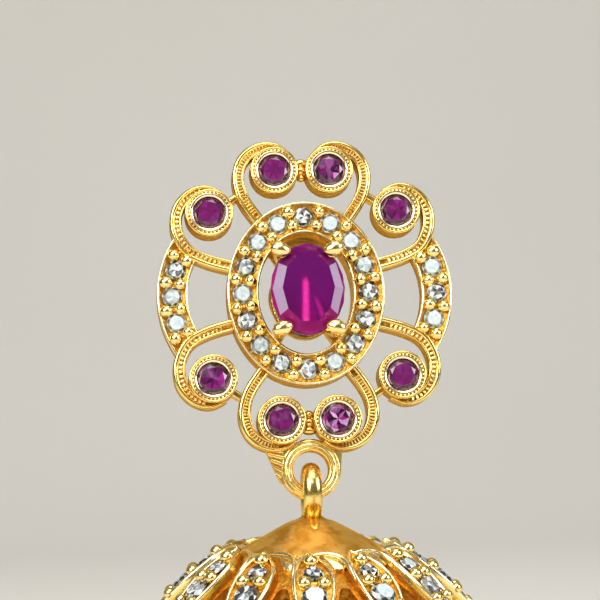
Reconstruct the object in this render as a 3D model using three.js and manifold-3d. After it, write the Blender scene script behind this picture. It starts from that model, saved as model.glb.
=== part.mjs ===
// A jhumka earring: an openwork stud set with stones on an ear post, and a bell that swings in its ring.
// Millimetres, +Z up, the front faces -Y. The origin is where the post's axis meets the back of its pad.
// The stud is drawn flat, with x to the right, y up and z towards the viewer, and then leans back on the ear.
import * as THREE from "three";
import { mergeVertices } from "three/addons/utils/BufferGeometryUtils.js";
import Module from "manifold-3d";

const wasm = await Module();
wasm.setup();
const rad = THREE.MathUtils.degToRad;

// How the stud sits on the ear: its top leans back
const STUD_LEAN = rad(10);

// Clearances between separate pieces
const STONE_GAP = 0.05; // round a stone in its seat
const PIECE_GAP = 0.05; // between metal pieces that rest on each other
const RING_GAP = 0.08; // round the ring's wire inside the eye

// Ear post and its pad
const PAD_RADIUS = 2.3;
const PAD_THICKNESS = 0.6;
const POST_RADIUS = 0.45;
const POST_LENGTH = 10.5;
const POST_TIP = 0.3; // length of the bevelled end
const POST_TIP_RADIUS = 0.25;

// Depths of the parts of the stud, from its back to their faces
const HALO_DEPTH = 1.9;
const CUP_DEPTH = 1.8;
const CURL_DEPTH = 1.4;
const CRESCENT_DEPTH = 1.2;
const RING_DEPTH = 1.0;
const BASKET_DEPTH = 0.6;
const LINK_DEPTH = 1.0;

// Raised lines along the edges of the stone-set bands
const RIM_HEIGHT = 0.14;
const RIM_WIDTH = 0.22;

// Halo: the oval ring of clear stones
const HALO_HALF_WIDTH = 4.1; // of the oval that the stones sit on
const HALO_HALF_HEIGHT = 5.0;
const HALO_BAND = 2.05;
const HALO_STONES = 16;

// Crescents: an arc of clear stones on each side
const CRESCENT_REACH = 3.52; // from the halo's edge to the middle of the band
const CRESCENT_RADIUS = 5.95; // of the middle of the band
const CRESCENT_BAND = 2.0;
const CRESCENT_HALF_ANGLE = rad(34);
const CRESCENT_STONES = 3;
const CRESCENT_PITCH = 1.75; // from stone to stone

// Clear stones, and how deep their widest line lies under the face of the band
const CLEAR_DIAMETER = 1.32;
const CLEAR_SINK = 0.1;

// Cups: the eight round settings of the ruby-coloured stones
const CUP_RADIUS = 1.58;
const CUP_STONE_DIAMETER = 2.14;
const CUP_STONE_SINK = 0.22;
const CUP_BEVEL = 0.12;
const CUP_BORE_RADIUS = 0.6;
const CUP_STANDOFF_WIDTH = 2.9; // from the halo's edge to the oval that the cups sit on
const CUP_STANDOFF_HEIGHT = 2.42;
const TOP_CUP_AT = rad(77); // places on that oval
const SIDE_CUP_AT = rad(40.2);

// Curls: flat bands that leave the halo and wind round the cups
const CURL_WIDTH = 0.8;
const CURL_STEPS = 13;
const TOP_CURL_LEAVES_AT = rad(56); // places on the halo's edge
const SIDE_CURL_LEAVES_AT = rad(19);
// One row for each bend: its direction from the middle of the cup, and its distance in cup radii
const TOP_CURL_BENDS = [
  { at: -51, out: 1.82 },
  { at: -27, out: 1.62 },
  { at: -1, out: 1.48 },
  { at: 27, out: 1.34 },
  { at: 61, out: 1.16 },
  { at: 92, out: 1.04 },
  { at: 123, out: 0.92 },
];
const SIDE_CURL_BENDS = [
  { at: -85, out: 1.95 },
  { at: -58, out: 1.77 },
  { at: -29, out: 1.53 },
  { at: 0, out: 1.34 },
  { at: 27, out: 1.2 },
  { at: 55, out: 1.11 },
  { at: 85, out: 1.03 },
  { at: 120, out: 0.94 },
];
// The width of a curl along its length, as shares of its length and of its full width
const CURL_TAPER = [
  { along: 0, width: 1 },
  { along: 0.7, width: 1 },
  { along: 1, width: 0.6 },
];

// Small links that tie the settings to each other
const LINK_WIDTH = 0.5;
const LINK_LENGTH = 1.75; // from a curl into the outer cup beside it

// Centre stone, raised over the halo in a basket with four claws
const CENTER_HALF_WIDTH = 2.4;
const CENTER_HALF_HEIGHT = 3.0;
const CENTER_LIFT = 1.3; // from the halo's face to the stone's widest line
const CLAW_AT = rad(50); // place on the oval of the stone
const CLAW_RADIUS = 0.38;
const CLAW_BEND = 1.4; // from the stone's widest line down to where a claw turns up
const CLAW_HEAD = { long: 0.72, wide: 0.5, high: 0.42 }; // half sizes
const CLAW_HEAD_TURN = rad(20); // of its length from the stone's width
const BASKET_INSET = 0.5; // of the basket's foot under the stone's edge
const BASKET_WIDTH = 0.7;

// Cut of the stones, as shares of half the stone's width
const CUT = { table: 0.58, crown: 0.34, girdle: 0.06, pavilion: 0.8 };

// Hang ring under the stud, and the plate that carries it, which reaches further to the left
const RING_HOLE_RADIUS = 1.16;
const RING_WIDTH = 0.8;
const RING_DROP = 3.14; // from the middle of the lowest cups to the middle of the ring
const PLATE_LEFT = 3.0; // reach of the plate's top edge from the middle of the ring
const PLATE_RIGHT = 2.1;
const PLATE_DROP = 0.8; // of its lowest corner under the middle of the ring
const PLATE_DEPTH = 0.8;

// Eye of the bell: a ring of wire, soldered on the cap
const EYE_WIDTH = 1.2;
const EYE_THICKNESS = 1.0;
const EYE_CROWN = 0.3; // by how much its top is thicker

// Cap: the smooth cone, with the drop from the middle of the eye to its top
const CAP_DROP = 1.5;
const CAP_TOP_RADIUS = 1.05;
const CAP_RADIUS = 4.65;
const CAP_SLOPE = rad(29.5);
const CAP_WALL = 0.45;
const COLLAR_RADIUS = 0.6;
const COLLAR_TOP_RADIUS = 0.54;
const COLLAR_HEIGHT = 0.5;
const COLLAR_FOOT = 0.12; // height at which the cone's flare meets it

// Dome of the bell, which goes on from the cap in two arcs that get steeper
const DOME_WALL = 0.8;
const DOME_UPPER_RADIUS = 22;
const DOME_LOWER_RADIUS = 13;
const DOME_ARCS = [
  { radius: DOME_UPPER_RADIUS, to: rad(36) },
  { radius: DOME_LOWER_RADIUS, to: rad(72) },
];
const LEDGE_WIDTH = 0.95; // of the step inside the dome that carries the cap
const LEDGE_THICKNESS = 0.5;
const HEM_HEIGHT = 1.1;
const HEM_BULGE = 0.58;
// The hem's section, as shares of its bulge and height
const HEM_SECTION = [
  { out: 0.77, down: 0.2 },
  { out: 1, down: 0.55 },
  { out: 0.77, down: 0.9 },
  { out: 0, down: 1 },
  { out: -1.1, down: 0.8 },
];

// Petals: leaves of clear stones that stand proud of the dome
const PETALS = 12;
const FRONT_PETAL_AT = rad(-4.5); // bearing of the petal nearest to the front
const PETAL_START = 0.3; // down the dome from the cap's edge
const PETAL_LENGTH = 7.6;
const PETAL_HALF_WIDTH = 1.35;
const PETAL_HEIGHT = 0.55;
const PETAL_HOOK = 0.4; // how far the tip leans to the side
const PETAL_ROOT = 0.25; // how deep a petal's edge reaches into the dome
// Sections along a petal: places, half widths, heights and side lean as shares of the sizes above
const PETAL_SECTIONS = [
  { along: 0, width: 0.06, height: 0.8, hook: -1 },
  { along: 0.06, width: 0.36, height: 0.88, hook: -0.7 },
  { along: 0.2, width: 0.84, height: 1, hook: -0.2 },
  { along: 0.38, width: 1, height: 1, hook: 0 },
  { along: 0.56, width: 0.9, height: 1, hook: 0 },
  { along: 0.74, width: 0.6, height: 1, hook: 0 },
  { along: 0.9, width: 0.34, height: 1, hook: 0 },
  { along: 1, width: 0.06, height: 0.85, hook: 0 },
];
// Stones along a petal: places as shares of its length, diameters as shares of the largest
const PETAL_STONE_DIAMETER = 1.6;
const PETAL_STONES = [
  { along: 0.27, size: 0.82 },
  { along: 0.495, size: 1 },
  { along: 0.69, size: 0.6 },
  { along: 0.83, size: 0.45 },
];

// Drop-shaped openings in the dome between the petals
const DROP_TOP = 3.3; // down the dome from the cap's edge to the middle of the small end
const DROP_LENGTH = 2.1; // from there to the middle of the large end
const DROP_TOP_RADIUS = 0.35;
const DROP_RADIUS = 1.05;
const DROP_CUT = 3.2; // thickness of its cutter

// How finely round things are faceted
const STONE_SIDES = 8;
const CENTER_SIDES = 16;
const CUP_SIDES = 14;
const OVAL_STEPS = 40;
const ARC_STEPS = 12;
const RING_SIDES = 24;
const EYE_SIDES = 16;
const WIRE_SIDES = 6;
const BEAD_SIDES = 8;
const BELL_SIDES = 36;
const DOME_STEPS = 6;

// Places that follow from the sizes
const FRAME_BACK = PAD_THICKNESS + PIECE_GAP;
const HALO_FACE = FRAME_BACK + HALO_DEPTH;
const HALO_EDGE_WIDTH = HALO_HALF_WIDTH + HALO_BAND / 2;
const HALO_EDGE_HEIGHT = HALO_HALF_HEIGHT + HALO_BAND / 2;
const CENTER_GIRDLE = HALO_FACE + CENTER_LIFT;
const CRESCENT_MIDDLE = HALO_EDGE_WIDTH + CRESCENT_REACH - CRESCENT_RADIUS;

const cupPlace = (at) =>
  new THREE.Vector2(
    (HALO_EDGE_WIDTH + CUP_STANDOFF_WIDTH) * Math.cos(at),
    (HALO_EDGE_HEIGHT + CUP_STANDOFF_HEIGHT) * Math.sin(at),
  );
const TOP_CUP = cupPlace(TOP_CUP_AT);
const SIDE_CUP = cupPlace(SIDE_CUP_AT);
const QUARTERS = [
  { x: 1, y: 1 },
  { x: -1, y: 1 },
  { x: 1, y: -1 },
  { x: -1, y: -1 },
];

const RING_WIRE_RADIUS = RING_HOLE_RADIUS + RING_WIDTH / 2;
const RING_MIDDLE = new THREE.Vector3(0, -TOP_CUP.y - RING_DROP, FRAME_BACK + CURL_DEPTH / 2);
const EYE_INNER_RADIUS = Math.hypot(RING_WIDTH, RING_DEPTH) / 2 + RING_GAP;

// Colours and finishes
const goldPlate = { color: 0xd9a33c, roughness: 0.25, metalness: 1 };
const satinCap = { color: 0xc0873c, roughness: 0.45, metalness: 1 };
const ruby = { color: 0x7a1040, roughness: 0.08, metalness: 0 };
const clearStone = { color: 0xdfe3ee, roughness: 0.05, metalness: 0 };

// A solid for joins and cuts, from a closed geometry. Faces that point inwards are turned round.
function solid(geometry) {
  const bare = new THREE.BufferGeometry().setAttribute("position", geometry.getAttribute("position"));
  bare.setIndex(geometry.index);
  const merged = mergeVertices(bare, 1e-4);
  const corners = merged.index.array;
  const kept = [];
  for (let i = 0; i < corners.length; i += 3) {
    const [a, b, c] = corners.slice(i, i + 3);
    if (a !== b && b !== c && c !== a) kept.push(a, b, c);
  }
  const make = (triangles) =>
    new wasm.Manifold(
      new wasm.Mesh({
        numProp: 3,
        vertProperties: new Float32Array(merged.attributes.position.array),
        triVerts: new Uint32Array(triangles),
      }),
    );
  const made = make(kept);
  return made.volume() > 0 ? made : make(kept.reverse());
}

function joined(solids) {
  return solids.reduce((whole, next) => whole.add(next));
}

function cutFrom(whole, cutters) {
  return cutters.reduce((left, cutter) => left.subtract(cutter), whole);
}

// A named mesh from a solid
function part(name, made, finish) {
  const { vertProperties, triVerts, numProp } = made.getMesh();
  const geometry = new THREE.BufferGeometry();
  geometry.setAttribute("position", new THREE.InterleavedBufferAttribute(
    new THREE.InterleavedBuffer(vertProperties, numProp), 3, 0,
  ));
  geometry.setIndex(new THREE.BufferAttribute(triVerts, 1));
  const flat = geometry.toNonIndexed();
  flat.computeVertexNormals();
  const mesh = new THREE.Mesh(flat, new THREE.MeshStandardMaterial(finish));
  mesh.name = name;
  return mesh;
}

// Skins a row of rings with as many points each. An open row is closed at its ends over the flat outline.
function skin(rings, outline) {
  const count = rings[0].length;
  const spans = outline ? rings.length - 1 : rings.length;
  const index = [];
  for (let i = 0; i < spans; i++) {
    const here = i * count;
    const next = ((i + 1) % rings.length) * count;
    for (let j = 0; j < count; j++) {
      const k = (j + 1) % count;
      index.push(here + j, here + k, next + k, here + j, next + k, next + j);
    }
  }
  if (outline) {
    const last = (rings.length - 1) * count;
    for (const [a, b, c] of THREE.ShapeUtils.triangulateShape(outline, [])) {
      const forward = THREE.ShapeUtils.isClockWise(outline);
      index.push(...(forward ? [a, b, c] : [c, b, a]));
      index.push(...(forward ? [c, b, a] : [a, b, c]).map((corner) => last + corner));
    }
  }
  return new THREE.BufferGeometry().setFromPoints(rings.flat()).setIndex(index);
}

// A band along a flat curve: its section lies across the curve, edge to edge and from back to face
function band(curve, steps, section, closed = false) {
  const rings = [];
  for (let i = 0; i < (closed ? steps : steps + 1); i++) {
    const at = i / steps;
    const here = curve.getPointAt(at);
    const along = curve.getTangentAt(at);
    rings.push(section(at).map(({ x, y }) =>
      new THREE.Vector3(here.x + along.y * x, here.y - along.x * x, y)));
  }
  return solid(skin(rings, closed ? undefined : section(0)));
}

// The section of a stone-set band: flat, with a raised line along each edge
function rimmedSection(width, face) {
  const half = width / 2;
  return [
    new THREE.Vector2(-half, FRAME_BACK),
    new THREE.Vector2(half, FRAME_BACK),
    new THREE.Vector2(half, face + RIM_HEIGHT),
    new THREE.Vector2(half - RIM_WIDTH, face + RIM_HEIGHT),
    new THREE.Vector2(half - RIM_WIDTH, face),
    new THREE.Vector2(RIM_WIDTH - half, face),
    new THREE.Vector2(RIM_WIDTH - half, face + RIM_HEIGHT),
    new THREE.Vector2(-half, face + RIM_HEIGHT),
  ];
}

// A turned piece whose axis is z
function turned(profile, sides) {
  const points = profile.map(([radius, height]) => new THREE.Vector2(radius, height));
  return new THREE.LatheGeometry(points, sides).rotateX(Math.PI / 2);
}

// A block that spans two corners
function block(low, high) {
  const size = high.clone().sub(low);
  return new THREE.BoxGeometry(size.x, size.y, size.z).translate(
    (low.x + high.x) / 2, (low.y + high.y) / 2, (low.z + high.z) / 2,
  );
}

// A cut stone, point down, with its widest line at z = 0: table, crown, girdle and pavilion
function cutStone(radius, sides, grown = 0) {
  const wide = radius + grown;
  return turned([
    [0, -radius * CUT.pavilion - grown],
    [wide, -radius * CUT.girdle - grown],
    [wide, grown],
    [radius * CUT.table + grown, radius * CUT.crown + grown],
    [0, radius * CUT.crown + grown],
  ], sides);
}

// The seat that a stone leaves in a band, open to the front
function stoneSeat(radius, place) {
  const wide = radius + STONE_GAP;
  return solid(turned([
    [0, -radius * CUT.pavilion - STONE_GAP],
    [wide, -radius * CUT.girdle - STONE_GAP],
    [wide, radius],
    [0, radius],
  ], STONE_SIDES).translate(place.x, place.y, place.z));
}

// Oval that the halo's stones sit on, and the places of the clear stones on halo and crescents
const haloLine = new THREE.EllipseCurve(0, 0, HALO_HALF_WIDTH, HALO_HALF_HEIGHT);
const haloPlaces = Array.from({ length: HALO_STONES }, (_, i) => {
  const { x, y } = haloLine.getPointAt(i / HALO_STONES);
  return new THREE.Vector3(x, y, HALO_FACE - CLEAR_SINK);
});

function crescentLine(side) {
  const facing = side > 0 ? 0 : Math.PI;
  return new THREE.EllipseCurve(
    side * CRESCENT_MIDDLE, 0, CRESCENT_RADIUS, CRESCENT_RADIUS,
    facing - CRESCENT_HALF_ANGLE, facing + CRESCENT_HALF_ANGLE,
  );
}

function crescentPlaces(side) {
  return Array.from({ length: CRESCENT_STONES }, (_, i) => {
    const turn = ((i - (CRESCENT_STONES - 1) / 2) * CRESCENT_PITCH) / CRESCENT_RADIUS;
    return new THREE.Vector3(
      side * (CRESCENT_MIDDLE + CRESCENT_RADIUS * Math.cos(turn)),
      -CRESCENT_RADIUS * Math.sin(turn),
      FRAME_BACK + CRESCENT_DEPTH - CLEAR_SINK,
    );
  });
}

// One curl, from the halo's edge round its cup
function curl(quarter, cup, leavesAt, bends) {
  const start = new THREE.Vector2(HALO_EDGE_WIDTH, HALO_EDGE_HEIGHT).subScalar(HALO_BAND / 4);
  const points = [new THREE.Vector2(start.x * Math.cos(leavesAt), start.y * Math.sin(leavesAt))];
  for (const { at, out } of bends) {
    const reach = new THREE.Vector2(out * CUP_RADIUS, 0).rotateAround(new THREE.Vector2(), rad(at));
    points.push(reach.add(cup));
  }
  const line = new THREE.SplineCurve(
    points.map(({ x, y }) => new THREE.Vector2(x * quarter.x, y * quarter.y)),
  );
  return band(line, CURL_STEPS, (at) => {
    const half = (CURL_WIDTH / 2) * shareAt(CURL_TAPER, "width", at);
    return [
      new THREE.Vector2(-half, FRAME_BACK),
      new THREE.Vector2(half, FRAME_BACK),
      new THREE.Vector2(half, FRAME_BACK + CURL_DEPTH),
      new THREE.Vector2(-half, FRAME_BACK + CURL_DEPTH),
    ];
  });
}

// A value between the rows of a table
function shareAt(table, column, along) {
  const upper = Math.max(1, table.findIndex((row) => row.along >= along));
  const [a, b] = [table[upper - 1], table[upper]];
  return THREE.MathUtils.mapLinear(along, a.along, b.along, a[column], b[column]);
}

// A cup: a turned wall with a seat for its stone and a bore at the back
function cup(place) {
  const face = FRAME_BACK + CUP_DEPTH;
  const seat = CUP_STONE_DIAMETER / 2 + STONE_GAP;
  const seatFloor = face - CUP_STONE_SINK - CUP_STONE_DIAMETER * (CUT.girdle / 2) - STONE_GAP;
  const slope = (CUP_STONE_DIAMETER / 2) * (CUT.pavilion - CUT.girdle) / seat;
  return solid(turned([
    [CUP_BORE_RADIUS, FRAME_BACK],
    [CUP_RADIUS, FRAME_BACK],
    [CUP_RADIUS, face - CUP_BEVEL],
    [CUP_RADIUS - CUP_BEVEL, face],
    [seat, face],
    [seat, seatFloor],
    [CUP_BORE_RADIUS, seatFloor - slope * (seat - CUP_BORE_RADIUS)],
    [CUP_BORE_RADIUS, FRAME_BACK],
  ], CUP_SIDES).translate(place.x, place.y, 0));
}

// One claw of the basket: a strut to the halo, a wire up the stone's side and a head over its edge
function claw(quarter) {
  const out = new THREE.Vector2(Math.cos(CLAW_AT), Math.sin(CLAW_AT))
    .multiply(new THREE.Vector2(CENTER_HALF_WIDTH, CENTER_HALF_HEIGHT));
  const edge = out.length();
  out.normalize().multiply(new THREE.Vector2(quarter.x, quarter.y));
  const at = (distance, height) => new THREE.Vector3(out.x * distance, out.y * distance, height);
  const foot = FRAME_BACK + BASKET_DEPTH / 2;
  const beside = edge + STONE_GAP + CLAW_RADIUS;
  const wire = new THREE.Shape().absarc(0, 0, CLAW_RADIUS, 0, 2 * Math.PI);
  const path = new THREE.CatmullRomCurve3([
    at(edge - BASKET_INSET, foot),
    at(beside - STONE_GAP, CENTER_GIRDLE - CLAW_BEND),
    at(beside, CENTER_GIRDLE - CLAW_RADIUS),
    at(beside - CLAW_RADIUS, CENTER_GIRDLE + CLAW_HEAD.high),
  ]);
  const strutLength = HALO_EDGE_HEIGHT - HALO_BAND / 2 - edge + BASKET_INSET;
  const strut = new THREE.BoxGeometry(strutLength, BASKET_WIDTH, BASKET_DEPTH)
    .translate(edge - BASKET_INSET + strutLength / 2, 0, foot)
    .rotateZ(out.angle());
  const over = at(edge + STONE_GAP + CLAW_HEAD.wide / 2, CENTER_GIRDLE + STONE_GAP + CLAW_HEAD.high);
  const head = new THREE.SphereGeometry(1, BEAD_SIDES, BEAD_SIDES / 2)
    .rotateX(Math.PI / 2)
    .scale(CLAW_HEAD.long, CLAW_HEAD.wide, CLAW_HEAD.high)
    .rotateZ(CLAW_HEAD_TURN * quarter.x * quarter.y)
    .translate(over.x, over.y, over.z);
  return joined([
    solid(new THREE.ExtrudeGeometry(wire, {
      steps: WIRE_SIDES, curveSegments: WIRE_SIDES / 2, bevelEnabled: false, extrudePath: path,
    })),
    solid(strut),
    solid(head),
  ]);
}

// The foot of the basket: a plain oval ring behind the stone
function basketFoot() {
  const size = new THREE.Vector2(CENTER_HALF_WIDTH, CENTER_HALF_HEIGHT).subScalar(BASKET_INSET);
  const line = new THREE.EllipseCurve(0, 0, size.x, size.y);
  const half = BASKET_WIDTH / 2;
  return band(line, OVAL_STEPS / 2, () => [
    new THREE.Vector2(-half, FRAME_BACK),
    new THREE.Vector2(half, FRAME_BACK),
    new THREE.Vector2(half, FRAME_BACK + BASKET_DEPTH),
    new THREE.Vector2(-half, FRAME_BACK + BASKET_DEPTH),
  ], true);
}

// The hang ring and the plate that carries it, whose top edge lies in the curls under the lowest cups
function hangRing() {
  const outer = RING_HOLE_RADIUS + RING_WIDTH;
  const rise = RING_DROP - CUP_RADIUS;
  const shoulders = new THREE.Shape([
    new THREE.Vector2(-PLATE_LEFT, rise),
    new THREE.Vector2(-outer, -PLATE_DROP),
    new THREE.Vector2(outer, 0),
    new THREE.Vector2(PLATE_RIGHT, rise),
  ]);
  const plate = new THREE.ExtrudeGeometry(shoulders, { depth: PLATE_DEPTH, bevelEnabled: false });
  const round = (radius, depth) =>
    new THREE.CylinderGeometry(radius, radius, depth, RING_SIDES).rotateX(Math.PI / 2);
  const { x, y, z } = RING_MIDDLE;
  const ring = solid(round(outer, RING_DEPTH).translate(x, y, z));
  const carrier = solid(plate.translate(x, y, z - PLATE_DEPTH / 2));
  const hole = solid(round(RING_HOLE_RADIUS, 2 * RING_DEPTH).translate(x, y, z));
  return ring.add(carrier).subtract(hole);
}

// Links between the two highest cups, the two lowest, and from each high curl to the cup beside it
function links() {
  const gap = TOP_CUP.x - CUP_RADIUS;
  const reach = gap + LINK_WIDTH;
  const face = FRAME_BACK + LINK_DEPTH;
  const bars = [1, -1].map((up) => solid(block(
    new THREE.Vector3(-reach, up * TOP_CUP.y - LINK_WIDTH / 2, FRAME_BACK),
    new THREE.Vector3(reach, up * TOP_CUP.y + LINK_WIDTH / 2, face),
  )));
  const toward = SIDE_CUP.clone().sub(TOP_CUP).normalize();
  const middle = SIDE_CUP.clone().addScaledVector(toward, -(CUP_RADIUS + LINK_LENGTH) / 2);
  for (const quarter of QUARTERS) {
    const bar = new THREE.BoxGeometry(LINK_LENGTH, LINK_WIDTH, LINK_DEPTH)
      .rotateZ(toward.angle())
      .translate(middle.x, middle.y, FRAME_BACK + LINK_DEPTH / 2)
      .scale(quarter.x, quarter.y, 1);
    bars.push(solid(bar));
  }
  return bars;
}

// The stud's casting: everything that holds a stone, in one piece with the hang ring
function studFrame() {
  const pieces = [
    band(haloLine, OVAL_STEPS, () => rimmedSection(HALO_BAND, HALO_FACE), true),
    basketFoot(),
    hangRing(),
    ...links(),
  ];
  for (const side of [-1, 1]) {
    pieces.push(band(crescentLine(side), ARC_STEPS, () =>
      rimmedSection(CRESCENT_BAND, FRAME_BACK + CRESCENT_DEPTH)));
  }
  for (const quarter of QUARTERS) {
    pieces.push(curl(quarter, TOP_CUP, TOP_CURL_LEAVES_AT, TOP_CURL_BENDS));
    pieces.push(curl(quarter, SIDE_CUP, SIDE_CURL_LEAVES_AT, SIDE_CURL_BENDS));
    pieces.push(claw(quarter));
  }
  const cupPlaces = QUARTERS.flatMap(({ x, y }) =>
    [TOP_CUP, SIDE_CUP].map((cup) => new THREE.Vector3(cup.x * x, cup.y * y, FRAME_BACK)));
  const bores = cupPlaces.map(({ x, y }) => solid(turned([
    [0, FRAME_BACK - PIECE_GAP],
    [CUP_STONE_DIAMETER / 2 + STONE_GAP, FRAME_BACK - PIECE_GAP],
    [CUP_STONE_DIAMETER / 2 + STONE_GAP, CENTER_GIRDLE],
    [0, CENTER_GIRDLE],
  ], CUP_SIDES).translate(x, y, 0)));
  const clearPlaces = [...haloPlaces, ...crescentPlaces(-1), ...crescentPlaces(1)];
  const seats = clearPlaces.map((place) => stoneSeat(CLEAR_DIAMETER / 2, place));
  const centerSeat = solid(cutStone(CENTER_HALF_WIDTH, CENTER_SIDES, STONE_GAP)
    .scale(1, CENTER_HALF_HEIGHT / CENTER_HALF_WIDTH, 1)
    .translate(0, 0, CENTER_GIRDLE));
  const open = cutFrom(joined(pieces), bores);
  return cutFrom(joined([open, ...cupPlaces.map(cup)]), [...seats, centerSeat]);
}

// The ear post: a pad against the back of the basket, and a plain post with a bevelled end
function earPost() {
  return solid(turned([
    [0, PAD_THICKNESS],
    [PAD_RADIUS, PAD_THICKNESS],
    [PAD_RADIUS, 0],
    [POST_RADIUS, 0],
    [POST_RADIUS, POST_TIP - POST_LENGTH],
    [POST_TIP_RADIUS, -POST_LENGTH],
    [0, -POST_LENGTH],
  ], RING_SIDES / 2));
}

// Adds a stone of its own to a group
function addStone(group, name, radius, place, finish) {
  group.add(part(name, solid(cutStone(radius, STONE_SIDES).translate(place.x, place.y, place.z)), finish));
}

function stud() {
  const group = new THREE.Group();
  group.add(part("stud_frame", studFrame(), goldPlate));
  group.add(part("ear_post", earPost(), goldPlate));
  const center = cutStone(CENTER_HALF_WIDTH, CENTER_SIDES)
    .scale(1, CENTER_HALF_HEIGHT / CENTER_HALF_WIDTH, 1)
    .translate(0, 0, CENTER_GIRDLE);
  group.add(part("center_ruby", solid(center), ruby));
  for (const { x, y } of QUARTERS) {
    const side = x > 0 ? "right" : "left";
    const height = FRAME_BACK + CUP_DEPTH - CUP_STONE_SINK;
    const places = [
      { name: `ruby_${y > 0 ? "top" : "bottom"}_${side}`, cup: TOP_CUP },
      { name: `ruby_${y > 0 ? "upper" : "lower"}_${side}`, cup: SIDE_CUP },
    ];
    for (const { name, cup } of places) {
      addStone(group, name, CUP_STONE_DIAMETER / 2, new THREE.Vector3(cup.x * x, cup.y * y, height), ruby);
    }
  }
  haloPlaces.forEach((place, i) => {
    const number = String(i + 1).padStart(2, "0");
    addStone(group, `halo_stone_${number}`, CLEAR_DIAMETER / 2, place, clearStone);
  });
  for (const [name, side] of [["left", -1], ["right", 1]]) {
    crescentPlaces(side).forEach((place, i) =>
      addStone(group, `side_stone_${name}_${i + 1}`, CLEAR_DIAMETER / 2, place, clearStone));
  }
  group.rotation.x = Math.PI / 2 - STUD_LEAN;
  return group;
}

// Height of the cap's outer face at a radius, from the middle of the eye
function capHeight(radius) {
  return -CAP_DROP - Math.max(0, radius - CAP_TOP_RADIUS) * Math.tan(CAP_SLOPE);
}

// The cap: a thin cone with the eye and its collar on top
function bellCap() {
  const under = CAP_WALL / Math.cos(CAP_SLOPE);
  const cone = solid(turned([
    [0, capHeight(0) - under],
    [CAP_TOP_RADIUS, capHeight(CAP_TOP_RADIUS) - under],
    [CAP_RADIUS, capHeight(CAP_RADIUS) - under],
    [CAP_RADIUS, capHeight(CAP_RADIUS)],
    [CAP_TOP_RADIUS, capHeight(CAP_TOP_RADIUS)],
    [COLLAR_RADIUS, capHeight(0) + COLLAR_FOOT],
    [COLLAR_TOP_RADIUS, capHeight(0) + COLLAR_HEIGHT],
    [0, capHeight(0) + COLLAR_HEIGHT],
  ], BELL_SIDES));
  const eyeWire = EYE_THICKNESS / 2;
  const eye = new THREE.TorusGeometry(EYE_INNER_RADIUS + eyeWire, eyeWire, WIRE_SIDES, EYE_SIDES)
    .scale(1, 1, EYE_WIDTH / EYE_THICKNESS)
    .rotateY(Math.PI / 2);
  const points = eye.attributes.position;
  for (let i = 0; i < points.count; i++) {
    const [y, z] = [points.getY(i), points.getZ(i)];
    const reach = Math.hypot(y, z);
    const crown = (EYE_CROWN / EYE_THICKNESS) * Math.max(0, z / reach) ** 2;
    const grown = 1 + crown * (reach - EYE_INNER_RADIUS) / reach;
    points.setXYZ(i, points.getX(i), y * grown, z * grown);
  }
  return cone.add(solid(eye));
}

// A point of the dome's outer face, by its distance down the slope from the cap's edge
function domeAt(down) {
  let [radius, height, slope, left] = [CAP_RADIUS + PIECE_GAP, capHeight(CAP_RADIUS), CAP_SLOPE, down];
  for (const arc of DOME_ARCS) {
    const turn = Math.min(left / arc.radius, arc.to - slope);
    radius += arc.radius * (Math.sin(slope + turn) - Math.sin(slope));
    height -= arc.radius * (Math.cos(slope) - Math.cos(slope + turn));
    slope += turn;
    left -= turn * arc.radius;
  }
  return { radius, height, slope };
}

const DOME_LENGTH = DOME_ARCS.reduce(
  (sum, arc, i) => sum + arc.radius * (arc.to - (i ? DOME_ARCS[i - 1].to : CAP_SLOPE)), 0,
);

// A place over the dome: down the slope, across it at a bearing from the front, and out along the normal
function overDome(down, across, out, bearing) {
  const { radius, height, slope } = domeAt(down);
  const reach = radius + out * Math.sin(slope);
  const turn = bearing + across / reach;
  return new THREE.Vector3(reach * Math.sin(turn), -reach * Math.cos(turn), height + out * Math.cos(slope));
}

// The dome's wall, with the ledge under the cap and a plain rounded hem
function domeWall() {
  const downs = Array.from({ length: DOME_STEPS + 1 }, (_, i) => (i / DOME_STEPS) * DOME_LENGTH);
  const outer = downs.map(domeAt).map(({ radius, height }) => [radius, height]);
  const inner = downs.slice(1).reverse().map(domeAt).map(({ radius, height, slope }) =>
    [radius - DOME_WALL * Math.sin(slope), height - DOME_WALL * Math.cos(slope)]);
  const [edgeRadius, edgeHeight] = outer.at(-1);
  const ledgeRadius = CAP_RADIUS - LEDGE_WIDTH;
  const ledgeTop = (radius) => capHeight(radius) - CAP_WALL / Math.cos(CAP_SLOPE) - PIECE_GAP;
  const hem = HEM_SECTION.map(({ out, down }) =>
    [edgeRadius + out * HEM_BULGE, edgeHeight - down * HEM_HEIGHT]);
  const profile = [
    [ledgeRadius, ledgeTop(ledgeRadius)],
    [outer[0][0], ledgeTop(outer[0][0])],
    ...outer,
    ...hem,
    ...inner,
    [ledgeRadius, ledgeTop(ledgeRadius) - LEDGE_THICKNESS],
    [ledgeRadius, ledgeTop(ledgeRadius)],
  ];
  return solid(turned(profile, BELL_SIDES));
}

// One drop-shaped cutter, square to the dome's wall
function dropCutter(bearing) {
  const large = -DROP_LENGTH;
  const tangent = Math.asin((DROP_RADIUS - DROP_TOP_RADIUS) / DROP_LENGTH);
  const shape = new THREE.Shape();
  shape.absarc(0, large, DROP_RADIUS, Math.PI - tangent, 2 * Math.PI + tangent);
  shape.absarc(0, 0, DROP_TOP_RADIUS, tangent, Math.PI - tangent);
  const middle = domeAt(DROP_TOP + DROP_LENGTH / 2);
  const top = domeAt(DROP_TOP);
  return solid(new THREE.ExtrudeGeometry(shape, { depth: DROP_CUT, bevelEnabled: false, curveSegments: 3 })
    .translate(0, 0, -DROP_CUT / 2)
    .rotateX(middle.slope)
    .translate(0, -top.radius, top.height)
    .rotateZ(bearing));
}

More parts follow.
